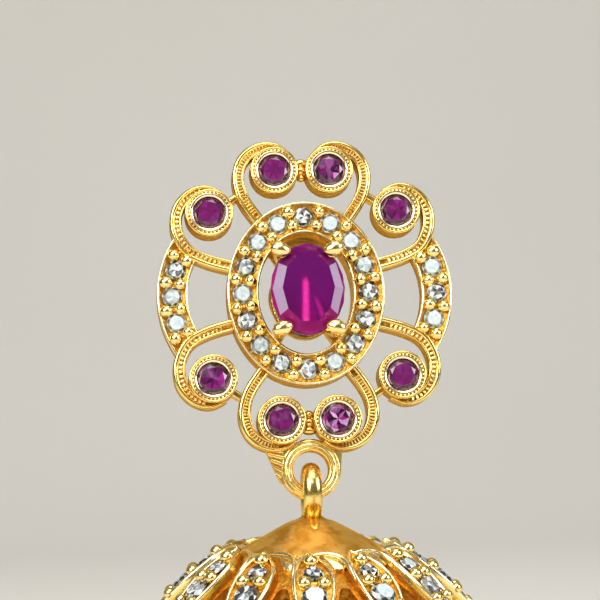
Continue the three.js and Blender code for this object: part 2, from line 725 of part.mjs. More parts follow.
// One petal: a leaf with a raised line along its edge, lying over the dome
function petal(bearing) {
  const outline = (width, height) => [
    new THREE.Vector2(-width, -PETAL_ROOT),
    new THREE.Vector2(width, -PETAL_ROOT),
    new THREE.Vector2(width, height + RIM_HEIGHT),
    new THREE.Vector2(width * (1 - RIM_WIDTH / PETAL_HALF_WIDTH), height),
    new THREE.Vector2(-width * (1 - RIM_WIDTH / PETAL_HALF_WIDTH), height),
    new THREE.Vector2(-width, height + RIM_HEIGHT),
  ];
  const rings = PETAL_SECTIONS.map(({ along, width, height, hook }) =>
    outline(width * PETAL_HALF_WIDTH, height * PETAL_HEIGHT).map(({ x, y }) =>
      overDome(PETAL_START + along * PETAL_LENGTH, x + hook * PETAL_HOOK, y, bearing)));
  return solid(skin(rings, outline(1, 1)));
}

// The crowns of a petal's stones, sunk a little into its face
function petalStones(bearing) {
  return PETAL_STONES.map(({ along, size }) => {
    const down = PETAL_START + along * PETAL_LENGTH;
    const radius = (PETAL_STONE_DIAMETER / 2) * size;
    const place = overDome(down, 0, PETAL_HEIGHT, bearing);
    const crown = turned([
      [0, -RIM_HEIGHT],
      [radius + RIM_HEIGHT / 2, -RIM_HEIGHT],
      [radius * CUT.table, radius * CUT.crown],
      [0, radius * CUT.crown],
    ], STONE_SIDES);
    return solid(crown.rotateX(domeAt(down).slope).rotateZ(bearing).translate(place.x, place.y, place.z));
  });
}

function bellPetals() {
  const pitch = (2 * Math.PI) / PETALS;
  const bearings = Array.from({ length: PETALS }, (_, i) => FRONT_PETAL_AT + i * pitch);
  const pierced = cutFrom(domeWall(), bearings.map((bearing) => dropCutter(bearing + pitch / 2)));
  return joined([pierced, ...bearings.map(petal), ...bearings.flatMap(petalStones)]);
}

// The bell hangs plumb from the lowest point of the ring's wire
function bell() {
  const group = new THREE.Group();
  group.add(part("bell_cap", bellCap(), satinCap));
  group.add(part("bell_petals", bellPetals(), goldPlate));
  group.position
    .copy(RING_MIDDLE)
    .add(new THREE.Vector3(0, -RING_WIRE_RADIUS, 0))
    .applyAxisAngle(new THREE.Vector3(1, 0, 0), Math.PI / 2 - STUD_LEAN);
  return group;
}

const earring = new THREE.Group();
earring.add(stud(), bell());
export default earring;
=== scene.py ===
"""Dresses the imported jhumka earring: cast gold, cut stones, grained edges and the bell with its petals.

Shapes are drawn in millimetres. The stud is drawn flat, with x to the right, y up and z towards the viewer,
and the bell round its own axis from the middle of its eye. Both are then placed in the frame, in metres.
"""

import logging
import math
from dataclasses import dataclass
from enum import Enum
from typing import Any, Iterable, Sequence

import bmesh
import bpy
import numpy as np
from mathutils import Matrix, Vector


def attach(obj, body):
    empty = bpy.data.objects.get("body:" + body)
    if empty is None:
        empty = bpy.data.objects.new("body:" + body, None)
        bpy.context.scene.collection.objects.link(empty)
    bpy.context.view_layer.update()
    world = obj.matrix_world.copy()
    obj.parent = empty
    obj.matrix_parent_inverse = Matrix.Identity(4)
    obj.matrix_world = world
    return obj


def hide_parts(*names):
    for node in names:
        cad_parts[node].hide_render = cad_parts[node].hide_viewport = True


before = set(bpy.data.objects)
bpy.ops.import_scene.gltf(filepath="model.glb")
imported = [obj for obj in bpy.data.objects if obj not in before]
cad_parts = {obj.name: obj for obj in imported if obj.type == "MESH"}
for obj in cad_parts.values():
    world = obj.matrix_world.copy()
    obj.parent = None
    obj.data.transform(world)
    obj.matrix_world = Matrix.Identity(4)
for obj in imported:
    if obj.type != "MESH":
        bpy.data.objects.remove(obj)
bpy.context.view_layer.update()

LOG = logging.getLogger("earring")
MM = 0.001
TURN = 2 * math.pi
LEAN = math.radians(10.0)
EYE_MIDDLE = (0.0, -3.5745, -12.4977)
EDGE_TINT = (1.0, 0.74, 0.36, 1.0)
Color = tuple[float, float, float]
Stops = tuple[tuple[float, Color], ...]
Profile = list[tuple[float, float]]


class Body(Enum):
    """The frame's bodies."""

    STUD = "stud"
    BELL = "bell"


class Slot(Enum):
    """The record's material slots."""

    GOLD = "gold_plate"
    SATIN = "satin_cap"
    RUBY = "ruby"
    CLEAR = "clear_stone"


PLACES = {
    Body.STUD: Matrix.Scale(MM, 4) @ Matrix((
        (1.0, 0.0, 0.0, 0.0),
        (0.0, math.sin(LEAN), -math.cos(LEAN), 0.0),
        (0.0, math.cos(LEAN), math.sin(LEAN), 0.0),
        (0.0, 0.0, 0.0, 1.0),
    )),
    Body.BELL: Matrix.Scale(MM, 4) @ Matrix.Translation(EYE_MIDDLE),
}


# Node trees


@dataclass(frozen=True)
class Wire:
    """An output socket that arithmetic works on: each operator adds a Math node.

    Args:
        sheet: The node tree that the socket is in.
        socket: The output socket.
    """

    sheet: "NodeSheet"
    socket: Any

    def __add__(self, other: Any) -> "Wire":
        """Sum."""
        return self.sheet.math("ADD", self, other)

    __radd__ = __add__

    def __mul__(self, other: Any) -> "Wire":
        """Product."""
        return self.sheet.math("MULTIPLY", self, other)

    __rmul__ = __mul__

    def __sub__(self, other: Any) -> "Wire":
        """Difference."""
        return self.sheet.math("SUBTRACT", self, other)

    def __rsub__(self, other: Any) -> "Wire":
        """Difference, with this socket taken away."""
        return self.sheet.math("SUBTRACT", other, self)

    def at_most(self, other: Any) -> "Wire":
        """The smaller of the two."""
        return self.sheet.math("MINIMUM", self, other)

    def at_least(self, other: Any) -> "Wire":
        """The larger of the two."""
        return self.sheet.math("MAXIMUM", self, other)

    def beside(self, name: str) -> "Wire":
        """Another output of the same node."""
        return Wire(self.sheet, self.socket.node.outputs[name])


class NodeSheet:
    """A node tree that is filled one node at a time."""

    def __init__(self, tree: Any) -> None:
        """Starts with an empty tree."""
        self.tree = tree
        tree.nodes.clear()

    def add(self, kind: str, settings: dict[str, Any] | None = None,
            sockets: dict[Any, Any] | None = None, output: Any = 0) -> Wire:
        """Adds a node, sets it, then fills its sockets.

        Args:
            kind: The node's type.
            settings: The node's own settings, set first; "stops" are a ramp's places and colours.
            sockets: Values or wires of its inputs, by name or number.
            output: The output that the result stands for, by name or number.

        Returns:
            The output as a wire.
        """
        node = self.tree.nodes.new(kind)
        for name, value in (settings or {}).items():
            if name == "stops":
                self._stops(node.color_ramp, value)
            else:
                setattr(node, name, value)
        for name, value in (sockets or {}).items():
            if isinstance(value, Wire):
                self.tree.links.new(value.socket, node.inputs[name])
            else:
                node.inputs[name].default_value = value
        return Wire(self, node.outputs[output] if len(node.outputs) else None)

    @staticmethod
    def _stops(ramp: Any, stops: Stops) -> None:
        """Fills a colour ramp.

        Args:
            ramp: The ramp.
            stops: Its places and colours.
        """
        while len(ramp.elements) < len(stops):
            ramp.elements.new(1.0)
        for element, (place, color) in zip(ramp.elements, stops):
            element.position = place
            element.color = (*color, 1.0)

    def math(self, operation: str, first: Any, second: Any = 0.0) -> Wire:
        """Adds one Math node."""
        return self.add("ShaderNodeMath", {"operation": operation}, {0: first, 1: second})

    def mix(self, factor: Any, first: Any, second: Any) -> Wire:
        """Mixes two colours by the share of the second."""
        colors = [c if isinstance(c, Wire) else (*c, 1.0) for c in (first, second)]
        return self.add("ShaderNodeMix", {"data_type": "RGBA"}, {0: factor, 6: colors[0], 7: colors[1]}, 2)

    def noise(self, size: float, detail: float = 2.0, roughness: float = 0.5,
              distortion: float = 0.0) -> Wire:
        """Noise from 0 to 1 on the object's own coordinates.

        Args:
            size: Size of its blotches in millimetres.
            detail: Number of finer layers.
            roughness: Strength of the finer layers.
            distortion: How far it is twisted.

        Returns:
            The noise.
        """
        place = self.add("ShaderNodeTexCoord", output="Object")
        return self.add("ShaderNodeTexNoise", None, {
            "Vector": place, "Scale": 1.0 / (size * MM), "Detail": detail,
            "Roughness": roughness, "Distortion": distortion})

    def attribute(self, name: str) -> Wire:
        """A number kept on the mesh."""
        return self.add("ShaderNodeAttribute", {"attribute_name": name}, None, "Fac")

    def spread(self, value: Wire, low: float, high: float, to_low: float = 0.0, to_high: float = 1.0) -> Wire:
        """Maps a range of values to another and stops at its ends."""
        return self.add("ShaderNodeMapRange", {"interpolation_type": "SMOOTHSTEP"}, {
            "Value": value, "From Min": low, "From Max": high, "To Min": to_low, "To Max": to_high})

    def ramp(self, stops: Stops, factor: Wire) -> Wire:
        """A colour ramp."""
        return self.add("ShaderNodeValToRGB", {"stops": stops}, {"Fac": factor}, "Color")

    def bump(self, height: Wire, strength: float) -> Wire:
        """A bump whose height is in millimetres."""
        return self.add("ShaderNodeBump", None, {"Height": height, "Distance": MM, "Strength": strength})

    def surface(self, **sockets: Any) -> None:
        """Adds the surface shader and the output.

        Args:
            sockets: The shader's inputs, with "_" for a space in their names.
        """
        named = {name.replace("_", " "): value for name, value in sockets.items()}
        shader = self.add("ShaderNodeBsdfPrincipled", None, named)
        self.add("ShaderNodeOutputMaterial", None, {"Surface": shader})


def new_material(name: str) -> tuple[Any, NodeSheet]:
    """Makes an empty node material.

    Args:
        name: Name of the material.

    Returns:
        The material and its sheet.
    """
    material = bpy.data.materials.new(name)
    material.use_nodes = True
    return material, NodeSheet(material.node_tree)


# Finishes


@dataclass(frozen=True)
class GoldFinish:
    """Bright plated casting, with painted light: pale with a painted highlight where it is polished,
    orange-brown with painted shade in its recesses.

    Args:
        name: Name of the material.
        bright: Colour of what stands out.
        shade_and_tarnish: Colour of the painted shade in the recesses, and of the random tarnish.
        roughness: Of the polished places.
        waviness: Height of the casting's unevenness in millimetres.
        shade: Colour of the painted shade in the deepest places.
        polish_and_highlight: Colour of rims that are rubbed bright, with a painted highlight on them.
    """

    name: str
    bright: Color = (0.93, 0.70, 0.23)
    shade_and_tarnish: Color = (0.52, 0.24, 0.03)
    roughness: float = 0.15
    waviness: float = 0.012
    shade: Color = (0.27, 0.13, 0.018)
    polish_and_highlight: Color = (1.0, 0.88, 0.52)

    def material(self) -> Any:
        """Builds the material.

        Returns:
            The material.
        """
        made, sheet = new_material(self.name)
        # The mesh keeps painted shade above 0, strongest in the recesses, and painted highlight or shine
        # below 0.
        recess = sheet.attribute("recess")
        blotch = sheet.noise(1.6, 3.0, 0.6)
        cut = sheet.noise(0.24, 2.0, 0.6)
        fine = sheet.noise(0.12, 3.0, 0.6)
        wave = sheet.noise(0.55, 2.0, 0.5)
        tarnish = sheet.spread(blotch, 0.45, 0.75, 0.0, 0.3)
        # Painted shade in the recesses, broken up by grain, with random tarnish blotches.
        shade_and_tarnish = (recess + tarnish + (cut - 0.55) * recess * 2.6).at_most(1.0).at_least(0.0)
        color = sheet.mix(shade_and_tarnish, self.bright, self.shade_and_tarnish)
        color = sheet.mix(sheet.spread(fine, 0.55, 0.75, 0.0, 0.28), color, self.shade_and_tarnish)
        # Darker painted shade in the lowest places.
        color = sheet.mix(sheet.spread(recess + (cut - 0.5) * 1.2, 1.15, 1.7), color, self.shade)
        # Painted highlight along the rims, where the mesh is below 0.
        color = sheet.mix(sheet.spread(recess, -0.2, -0.9), color, self.polish_and_highlight)
        shade_amount = recess.at_least(0.0)
        rough = self.roughness + shade_amount.at_most(1.0) * 0.15 + blotch * 0.1
        height = wave * self.waviness + fine * 0.003 + cut * shade_amount * 0.06
        sheet.surface(Base_Color=color, Metallic=1.0, Roughness=rough, Normal=sheet.bump(height, 1.0),
                      Specular_Tint=EDGE_TINT)
        return made


@dataclass(frozen=True)
class SatinFinish:
    """Satin amber plating of the cap, with worn lighter streaks.

    Args:
        name: Name of the material.
        light: Colour of the worn streaks.
        middle: Main colour.
        dark: Colour of the darker blotches.
        drip: Colour of the drop of gold under the collar.
    """

    name: str
    light: Color = (0.94, 0.68, 0.28)
    middle: Color = (0.84, 0.52, 0.13)
    dark: Color = (0.62, 0.32, 0.05)
    drip: Color = (0.98, 0.72, 0.2)

    def material(self) -> Any:
        """Builds the material.

        Returns:
            The material.
        """
        made, sheet = new_material(self.name)
        blotch = sheet.noise(1.3, 3.0, 0.6, 0.6)
        cloud = sheet.noise(0.45, 4.0, 0.65)
        grain = sheet.noise(0.05, 2.0, 0.6)
        color = sheet.mix(sheet.spread(blotch, 0.35, 0.6), self.dark, self.middle)
        color = sheet.mix(sheet.spread(cloud, 0.5, 0.75, 0.0, 0.6), color, self.light)
        drip = sheet.spread(sheet.attribute("recess"), -0.2, -0.8)
        color = sheet.mix(drip * 0.8, color, self.drip)
        rough = 0.36 + cloud * 0.18 - drip * 0.15
        bump = sheet.bump(grain * 0.003 + blotch * 0.02, 0.8)
        sheet.surface(Base_Color=color, Metallic=1.0, Roughness=rough, Normal=bump, Specular_Tint=EDGE_TINT)
        return made


@dataclass(frozen=True)
class StoneFinish:
    """Cut glass stone, drawn with painted light: each facet has a painted light and shade, shuffled from
    stone to stone, standing for its back facets as they show through.

    Args:
        name: Name of the material.
        stops: Ramp from the painted shade of the dark facets to the painted glints of the bright ones.
        shuffle: How far the painted light of a facet may move from stone to stone.
        metallic: Share of mirror-like light from the back facets.
        gain: Contrast of the painted light.
        offset: Lift of the painted light.
        ior: Refraction of its surface, which sets its gloss.
        coat: Weight of a second gloss.
        patch: Colour of the soft painted reflections that the surroundings leave in it.
        patches: Strength of the patches.
        patch_size: Size of the patches in millimetres.
    """

    name: str
    stops: Stops
    shuffle: float
    metallic: float = 0.15
    gain: float = 1.0
    offset: float = 0.0
    ior: float = 1.76
    coat: float = 0.6
    patch: Color = (0.07, 0.05, 0.045)
    patches: float = 0.8
    patch_size: float = 0.5

    def material(self) -> Any:
        """Builds the material.

        Returns:
            The material.
        """
        made, sheet = new_material(self.name)
        luck = sheet.attribute("luck")
        seed = sheet.add("ShaderNodeCombineXYZ", None, {
            "X": sheet.attribute("facet") * 0.37, "Y": luck * 91.7})
        chance = sheet.add("ShaderNodeTexWhiteNoise", {"noise_dimensions": "2D"}, {"Vector": seed}, "Value")
        play = (luck * luck * 1.3 + 0.12) * self.shuffle
        cloud = sheet.noise(0.35, 1.0)
        # Painted light and shade of each facet, shuffled by chance from stone to stone.
        shown = sheet.attribute("tone") * self.gain + self.offset + (chance - 0.6) * play
        color = sheet.ramp(self.stops, shown + (cloud - 0.5) * 0.12)
        # Soft patches of painted reflection.
        patch = sheet.spread(sheet.noise(self.patch_size, 1.0, 0.5, 0.6), 0.52, 0.64)
        color = sheet.mix(patch * luck * self.patches, color, self.patch)
        sheet.surface(Base_Color=color, Metallic=self.metallic, Roughness=0.05 + cloud * 0.06,
                      IOR=self.ior, Coat_Weight=self.coat, Coat_Roughness=0.02)
        return made


@dataclass(frozen=True)
class FannedStoneFinish:
    """The big stone, with painted light: facets with painted light and shade, and a table through which soft
    painted streaks of light fan out downwards.

    Args:
        name: Name of the material.
        stops: Ramp from the painted shade to the painted light.
        apex: Where the streaks start, across and up in millimetres.
        height: Height of the table over the stud's back.
        violet: Colour of the painted shade on the table's darker upper part.
    """

    name: str
    stops: Stops
    apex: tuple[float, float] = (-0.19, 1.2)
    height: float = 4.63
    violet: Color = (0.095, 0.006, 0.1)

    def material(self) -> Any:
        """Builds the material.

        Returns:
            The material.
        """
        made, sheet = new_material(self.name)
        place = sheet.add("ShaderNodeTexCoord", output="Object")
        split = sheet.add("ShaderNodeSeparateXYZ", None, {"Vector": place}, "X")
        apex = self.apex[1] * math.cos(LEAN) + self.height * math.sin(LEAN)
        across = split * (1 / MM) - self.apex[0]
        along = apex - split.beside("Z") * (1 / MM)
        tone = sheet.attribute("tone")
        # Painted streaks of light that the back facets send up through the table.
        fan = self.streak(across + along * 0.02, along, 0.04, 0.42, 0.5)
        other = self.streak(across - 0.36 - (along - 1.2) * 0.36, along - 1.2, 0.02, 0.34, 0.34)
        glow = self.streak(across - 0.2, along - 0.8, 0.3, 0.8, 0.1)
        sector = sheet.math("FLOOR", sheet.math("ARCTAN2", across, along) * 3.4 + 0.35)
        chance = sheet.add("ShaderNodeTexWhiteNoise", {"noise_dimensions": "1D"}, {"W": sector}, "Value")
        cloud = sheet.noise(0.5, 2.0)
        table = 0.32 + (chance - 0.5) * 0.1 + (cloud - 0.5) * 0.16 + fan.at_least(other).at_least(glow)
        is_table = sheet.spread(tone, -0.4, -0.6)
        shown = sheet.add("ShaderNodeMix", {"data_type": "FLOAT"},
                          {0: is_table, 2: tone + (cloud - 0.5) * 0.08, 3: table})
        # Painted violet shade over the dark upper part of the table.
        cool = sheet.spread(along, 3.6, 0.4) * sheet.spread(shown, 0.62, 0.45) * is_table
        color = sheet.mix(cool * 0.7, sheet.ramp(self.stops, shown), self.violet)
        sheet.surface(Base_Color=color, Metallic=0.0, Roughness=0.07, IOR=1.22)
        return made

    @staticmethod
    def streak(across: Wire, along: Wire, core: float, soft: float, gain: float) -> Wire:
        """A soft painted streak of light that starts where "along" is 0.

        Args:
            across: Distance from the line.
            along: Distance down the line.
            core: Half width of its bright middle.
            soft: Width over which it fades.
            gain: Its strength.

        Returns:
            The strength at each place.
        """
        sheet = across.sheet
        side = sheet.spread(sheet.math("ABSOLUTE", across), core, core + soft, 1.0, 0.0)
        return side * sheet.spread(along, 0.1, 1.0) * gain


# Drawing meshes


def arc(middle: tuple[float, float], radius: float, start: float, end: float, steps: int) -> Profile:
    """Points of an arc, with its ends; the directions are in degrees."""
    angles = np.radians(np.linspace(start, end, steps + 1))
    return [(middle[0] + radius * math.cos(a), middle[1] + radius * math.sin(a)) for a in angles]


def evened(points: np.ndarray, count: int, closed: bool = False) -> np.ndarray:
    """Sets points at equal steps along a line.

    Args:
        points: Dense points of the line.
        count: Number of points wanted.
        closed: Whether the line returns to its start.

    Returns:
        The points; a closed line's first point isn't repeated.
    """
    line = np.vstack([points, points[:1]]) if closed else points
    lengths = np.concatenate([[0.0], np.cumsum(np.linalg.norm(np.diff(line, axis=0), axis=1))])
    wanted = np.linspace(0.0, lengths[-1], count + 1 if closed else count)
    made = np.column_stack([np.interp(wanted, lengths, line[:, i]) for i in range(line.shape[1])])
    return made[:-1] if closed else made


def rounded_line(knots: Sequence[Sequence[float]], count: int) -> np.ndarray:
    """Draws a smooth line through knots.

    Args:
        knots: The points that it passes.
        count: Number of points wanted, at equal steps.

    Returns:
        The line's points.
    """
    p = np.asarray(knots, float)
    dense = []
    for i in range(len(p) - 1):
        a, b, c, d = p[max(i - 1, 0)], p[i], p[i + 1], p[min(i + 2, len(p) - 1)]
        t = np.linspace(0.0, 1.0, 24, endpoint=False)[:, None]
        v0, v1 = (c - a) / 2, (d - b) / 2
        dense.append((2 * b - 2 * c + v0 + v1) * t**3 + (-3 * b + 3 * c - 2 * v0 - v1) * t**2 + v0 * t + b)
    return evened(np.vstack([*dense, p[-1:]]), count)


def oval(half_width: float, half_height: float, count: int, first: float = 0.0) -> np.ndarray:
    """Points at equal steps round an oval, from the right and counter-clockwise.

    Args:
        half_width: Half its width.
        half_height: Half its height.
        count: Number of points.
        first: Place of the first point, as a share of a step.

    Returns:
        The points.
    """
    angles = np.linspace(0.0, TURN, 1440, endpoint=False)
    dense = np.column_stack([half_width * np.cos(angles), half_height * np.sin(angles)])
    fine = evened(dense, count * 8, closed=True)
    return np.roll(fine, -round(first * 8), axis=0)[::8]


def across_of(line: np.ndarray, closed: bool) -> np.ndarray:
    """Finds the unit vectors across a flat line, to the right of its travel.

    Args:
        line: Points of the line.
        closed: Whether the line returns to its start.

    Returns:
        One vector for each point.
    """
    along = np.roll(line, -1, axis=0) - np.roll(line, 1, axis=0) if closed else np.gradient(line, axis=0)
    along = along / np.linalg.norm(along, axis=1, keepdims=True)
    return np.column_stack([along[:, 1], -along[:, 0]])


def parted(section: Sequence[Sequence[float]]) -> tuple[Profile, list[float]]:
    """Parts a section's rows of place, height and painted shade into a profile and the painted shades."""
    return [(row[0], row[1]) for row in section], [row[2] for row in section]


def bar_section(half: float, back: float, face: float, radius: float, steps: int) -> Profile:
    """Section of a plain bar with two rounded edges in front."""
    return [(-half, back), *arc((-half + radius, face - radius), radius, 180, 90, steps),
            *arc((half - radius, face - radius), radius, 90, 0, steps), (half, back)]


class Sketch:
    """A mesh drawn in millimetres. Points keep their painted shade, or shine below 0, and faces their painted
    light and a facet number.
    """

    def __init__(self) -> None:
        """Starts empty."""
        self.points: list[np.ndarray] = []
        self.recess: list[np.ndarray] = []
        self.faces: list[tuple[int, ...]] = []
        self.painted_lights: list[float] = []
        self.count = 0

    def add(self, points: Any, faces: Iterable[Sequence[int]], recess: Any = 0.0) -> "Sketch":
        """Adds points and the faces between them.

        Args:
            points: The points.
            faces: The corners of each face, counted from the first new point.
            recess: Painted shade of each point, or its shine below 0.

        Returns:
            The sketch itself.
        """
        rows = np.asarray(points, float).reshape(-1, 3)
        self.points.append(rows)
        self.recess.append(np.broadcast_to(np.asarray(recess, float), (len(rows),)))
        self.faces += [tuple(int(c) + self.count for c in face) for face in faces]
        self.count += len(rows)
        return self

    def grid(self, rows: np.ndarray, round_rows: bool = False, round_columns: bool = False,
             recess: Any = 0.0, caps: bool = False) -> "Sketch":
        """Adds a sheet of quads over rows of points.

        Args:
            rows: Points by row and column.
            round_rows: Whether the last row joins the first.
            round_columns: Whether the last column joins the first.
            recess: Painted shade or shine of all the points, or one for each column.
            caps: Whether the first and last rows are closed.

        Returns:
            The sketch itself.
        """
        rows = np.asarray(rows, float)
        n, m = rows.shape[:2]
        faces: list[tuple[int, ...]] = []
        for i in range(n if round_rows else n - 1):
            below = (i + 1) % n
            for j in range(m if round_columns else m - 1):
                beside = (j + 1) % m
                faces.append((i * m + j, i * m + beside, below * m + beside, below * m + j))
        if caps:
            faces += [tuple(range(m - 1, -1, -1)), tuple(range((n - 1) * m, n * m))]
        return self.add(rows, faces, np.broadcast_to(np.asarray(recess, float), (n, m)).reshape(-1))

    def swept(self, line: np.ndarray, section: Profile, closed: bool = False, recess: Any = 0.0,
              width: Any = 1.0, side: float = 1.0) -> "Sketch":
        """Sweeps a section along a flat line.

        Args:
            line: Points of the line.
            section: Places across the line and heights.
            closed: Whether the line returns to its start.
            recess: Painted shade or shine of the section's points.
            width: Share of the full width at each point of the line.
            side: -1 turns the section to the other side.

        Returns:
            The sketch itself.
        """
        shape = np.asarray(section, float)
        share = np.broadcast_to(width, (len(line),))
        offset = shape[None, :, 0] * share[:, None] * side
        rows = np.empty((len(line), len(shape), 3))
        rows[:, :, :2] = line[:, None, :] + across_of(line, closed)[:, None, :] * offset[:, :, None]
        rows[:, :, 2] = shape[None, :, 1]
        return self.grid(rows, closed, True, recess, not closed)

    def turned(self, profile: Profile, sides: int, middle: Sequence[float] = (0.0, 0.0, 0.0),
               recess: Any = 0.0, closed: bool = True, start: float = 0.0) -> "Sketch":
        """Turns a profile of radius and height round the z axis.

        Args:
            profile: The points of the profile.
            sides: Number of sides.
            middle: Where the axis stands.
            recess: Painted shade or shine of the profile's points.
            closed: Whether the profile's last point joins its first.
            start: Direction of the first side.

        Returns:
            The sketch itself.
        """
        shape = np.asarray(profile, float)
        angles = start + np.linspace(0.0, TURN, sides, endpoint=False)
        rows = np.empty((sides, len(shape), 3))
        rows[:, :, 0] = middle[0] + np.cos(angles)[:, None] * shape[None, :, 0]
        rows[:, :, 1] = middle[1] + np.sin(angles)[:, None] * shape[None, :, 0]
        rows[:, :, 2] = middle[2] + shape[None, :, 1]
        return self.grid(rows, True, closed, recess)

    def mesh(self, name: str, merge: float = 1e-4) -> Any:
        """Makes the mesh in millimetres, with faces turned outwards.

        Args:
            name: Name of the mesh.
            merge: Distance within which points are merged.

        Returns:
            The mesh.
        """
        made = bpy.data.meshes.new(name)
        made.from_pydata(np.vstack(self.points).tolist(), [], self.faces)
        painted_lights = self.painted_lights or [0.0] * len(self.faces)
        for label, domain, values in (("recess", "POINT", np.concatenate(self.recess)),
                                      ("tone", "FACE", painted_lights), ("facet", "FACE", range(len(self.faces)))):
            layer = made.attributes.new(label, "FLOAT", domain)
            layer.data.foreach_set("value", np.array(values, np.float32))
        made.polygons.foreach_set("use_smooth", [not self.painted_lights] * len(self.faces))
        work = bmesh.new()
        work.from_mesh(made)
        bmesh.ops.remove_doubles(work, verts=work.verts, dist=merge)
        bmesh.ops.dissolve_degenerate(work, edges=work.edges, dist=merge / 4)
        bmesh.ops.recalc_face_normals(work, faces=work.faces)
        work.to_mesh(made)
        work.free()
        return made


class CutStone:
    """A stone drawn facet by facet between rings of points."""

    def __init__(self, count: int, half_width: float = 1.0, half_height: float = 1.0) -> None:
        """Starts a stone.

        Args:
            count: Number of points on each ring.
            half_width: Half its width.
            half_height: Half its height.
        """
        self.count, self.half = count, (half_width, half_height)
        self.points: list[tuple[float, float, float]] = []
        self.sketch = Sketch()

    def ring(self, share: float | tuple[float, float], height: float, shift: float = 0.0) -> int:
        """Adds a ring of points.

        Args:
            share: Its share of the stone's half width and half height.
            height: Its height over the widest line.
            shift: Turn of its first point, as a share of a step.

        Returns:
            The number of its first point.
        """
        wide, high = share if isinstance(share, tuple) else (share, share)
        turns = [(k + shift) * TURN / self.count for k in range(self.count)]
        self.points += [(self.half[0] * wide * math.cos(a), self.half[1] * high * math.sin(a), height)
                        for a in turns]
        return len(self.points) - self.count

    def tip(self, height: float) -> int:
        """Adds a point on the axis and returns its number."""
        self.points.append((0.0, 0.0, height))
        return len(self.points) - 1

    def facet(self, tone: float, *corners: int) -> None:
        """Adds one facet with its painted light."""
        self.sketch.faces.append(corners)
        self.sketch.painted_lights.append(tone)

    def mesh(self, name: str, lift: float = 0.0) -> Any:
        """Makes the mesh, with its widest line at a height."""
        self.sketch.add(np.array(self.points) + (0, 0, lift), ())
        return self.sketch.mesh(name, 1e-6)


# Geometry Nodes recipes


class Recipe:
    """A Geometry Nodes tree with named inputs, which is run once and leaves a plain mesh."""

    KINDS = {float: "NodeSocketFloat", int: "NodeSocketInt", bpy.types.Object: "NodeSocketObject",
             bpy.types.Material: "NodeSocketMaterial"}

    def __init__(self, name: str, **inputs: type) -> None:
        """Starts the tree, with the geometry and a finish as inputs.

        Args:
            name: Name of the tree.
            inputs: Types of its other inputs, by name.
        """
        self.tree = bpy.data.node_groups.new(name, "GeometryNodeTree")
        face = self.tree.interface
        face.new_socket("Geometry", in_out="INPUT", socket_type="NodeSocketGeometry")
        self.keys = {label: face.new_socket(label, in_out="INPUT", socket_type=self.KINDS[kind]).identifier
                     for label, kind in (*inputs.items(), ("Finish", bpy.types.Material))}
        face.new_socket("Geometry", in_out="OUTPUT", socket_type="NodeSocketGeometry")
        self.sheet = NodeSheet(self.tree)
        self.way_in = self.tree.nodes.new("NodeGroupInput")

    def given(self, label: str) -> Wire:
        """An input of the tree, by its name."""
        return Wire(self.sheet, self.way_in.outputs[label])

    def piece(self) -> Wire:
        """The piece to copy, as one instance."""
        return self.sheet.add("GeometryNodeObjectInfo", None,
                              {"Object": self.given("Piece"), "As Instance": True}, "Geometry")

    def close(self, **sockets: Wire) -> None:
        """Ends the tree: copies on points, a chance number on each, real geometry, and the finish.

        Args:
            sockets: Inputs of the node that sets the copies.
        """
        sheet = self.sheet
        copies = sheet.add("GeometryNodeInstanceOnPoints", None, sockets)
        chance = sheet.add("FunctionNodeRandomValue", {"data_type": "FLOAT"}, {"Seed": 7}, 1)
        kept = sheet.add("GeometryNodeStoreNamedAttribute", {"data_type": "FLOAT", "domain": "INSTANCE"},
                         {"Geometry": copies, "Name": "luck", "Value": chance})
        real = sheet.add("GeometryNodeRealizeInstances", None, {"Geometry": kept})
        dressed = sheet.add("GeometryNodeSetMaterial", None,
                            {"Geometry": real, "Material": self.given("Finish")})
        sheet.add("NodeGroupOutput", None, {"Geometry": dressed})

    def run(self, base: Any, piece: Any = None, **values: Any) -> Any:
        """Runs the tree on a mesh.

        Args:
            base: The mesh that it starts from.
            piece: The mesh that it copies, if that isn't the base.
            values: The inputs, by name.

        Returns:
            The resulting plain mesh.
        """
        holders = [bpy.data.objects.new(mesh.name, mesh) for mesh in (base, piece) if mesh is not None]
        for holder in holders:
            bpy.context.scene.collection.objects.link(holder)
        if piece is not None:
            values["Piece"] = holders[1]
        step = holders[0].modifiers.new("Recipe", "NODES")
        step.node_group = self.tree
        for label, value in values.items():
            step[self.keys[label]] = value
        graph = bpy.context.evaluated_depsgraph_get()
        made = bpy.data.meshes.new_from_object(holders[0].evaluated_get(graph))
        holders[0].modifiers.remove(step)
        for holder in holders:
            bpy.data.objects.remove(holder)
        return made


def grains_recipe() -> Recipe:
    """Sets grains at equal steps along flat lines, each square to its line.

    Returns:
        The recipe.
    """
    recipe = Recipe("GrainsAlongLine", Piece=bpy.types.Object, Pitch=float)
    sheet = recipe.sheet
    curve = sheet.add("GeometryNodeMeshToCurve", None, {"Mesh": recipe.given("Geometry")})
    steps = sheet.add("GeometryNodeCurveToPoints", {"mode": "LENGTH"},
                      {"Curve": curve, "Length": recipe.given("Pitch")})
    turn = sheet.add("FunctionNodeAlignRotationToVector", {"axis": "X", "pivot_axis": "Z"},
                     {"Vector": steps.beside("Tangent")})
    recipe.close(Points=steps, Instance=recipe.piece(), Rotation=turn)
    return recipe


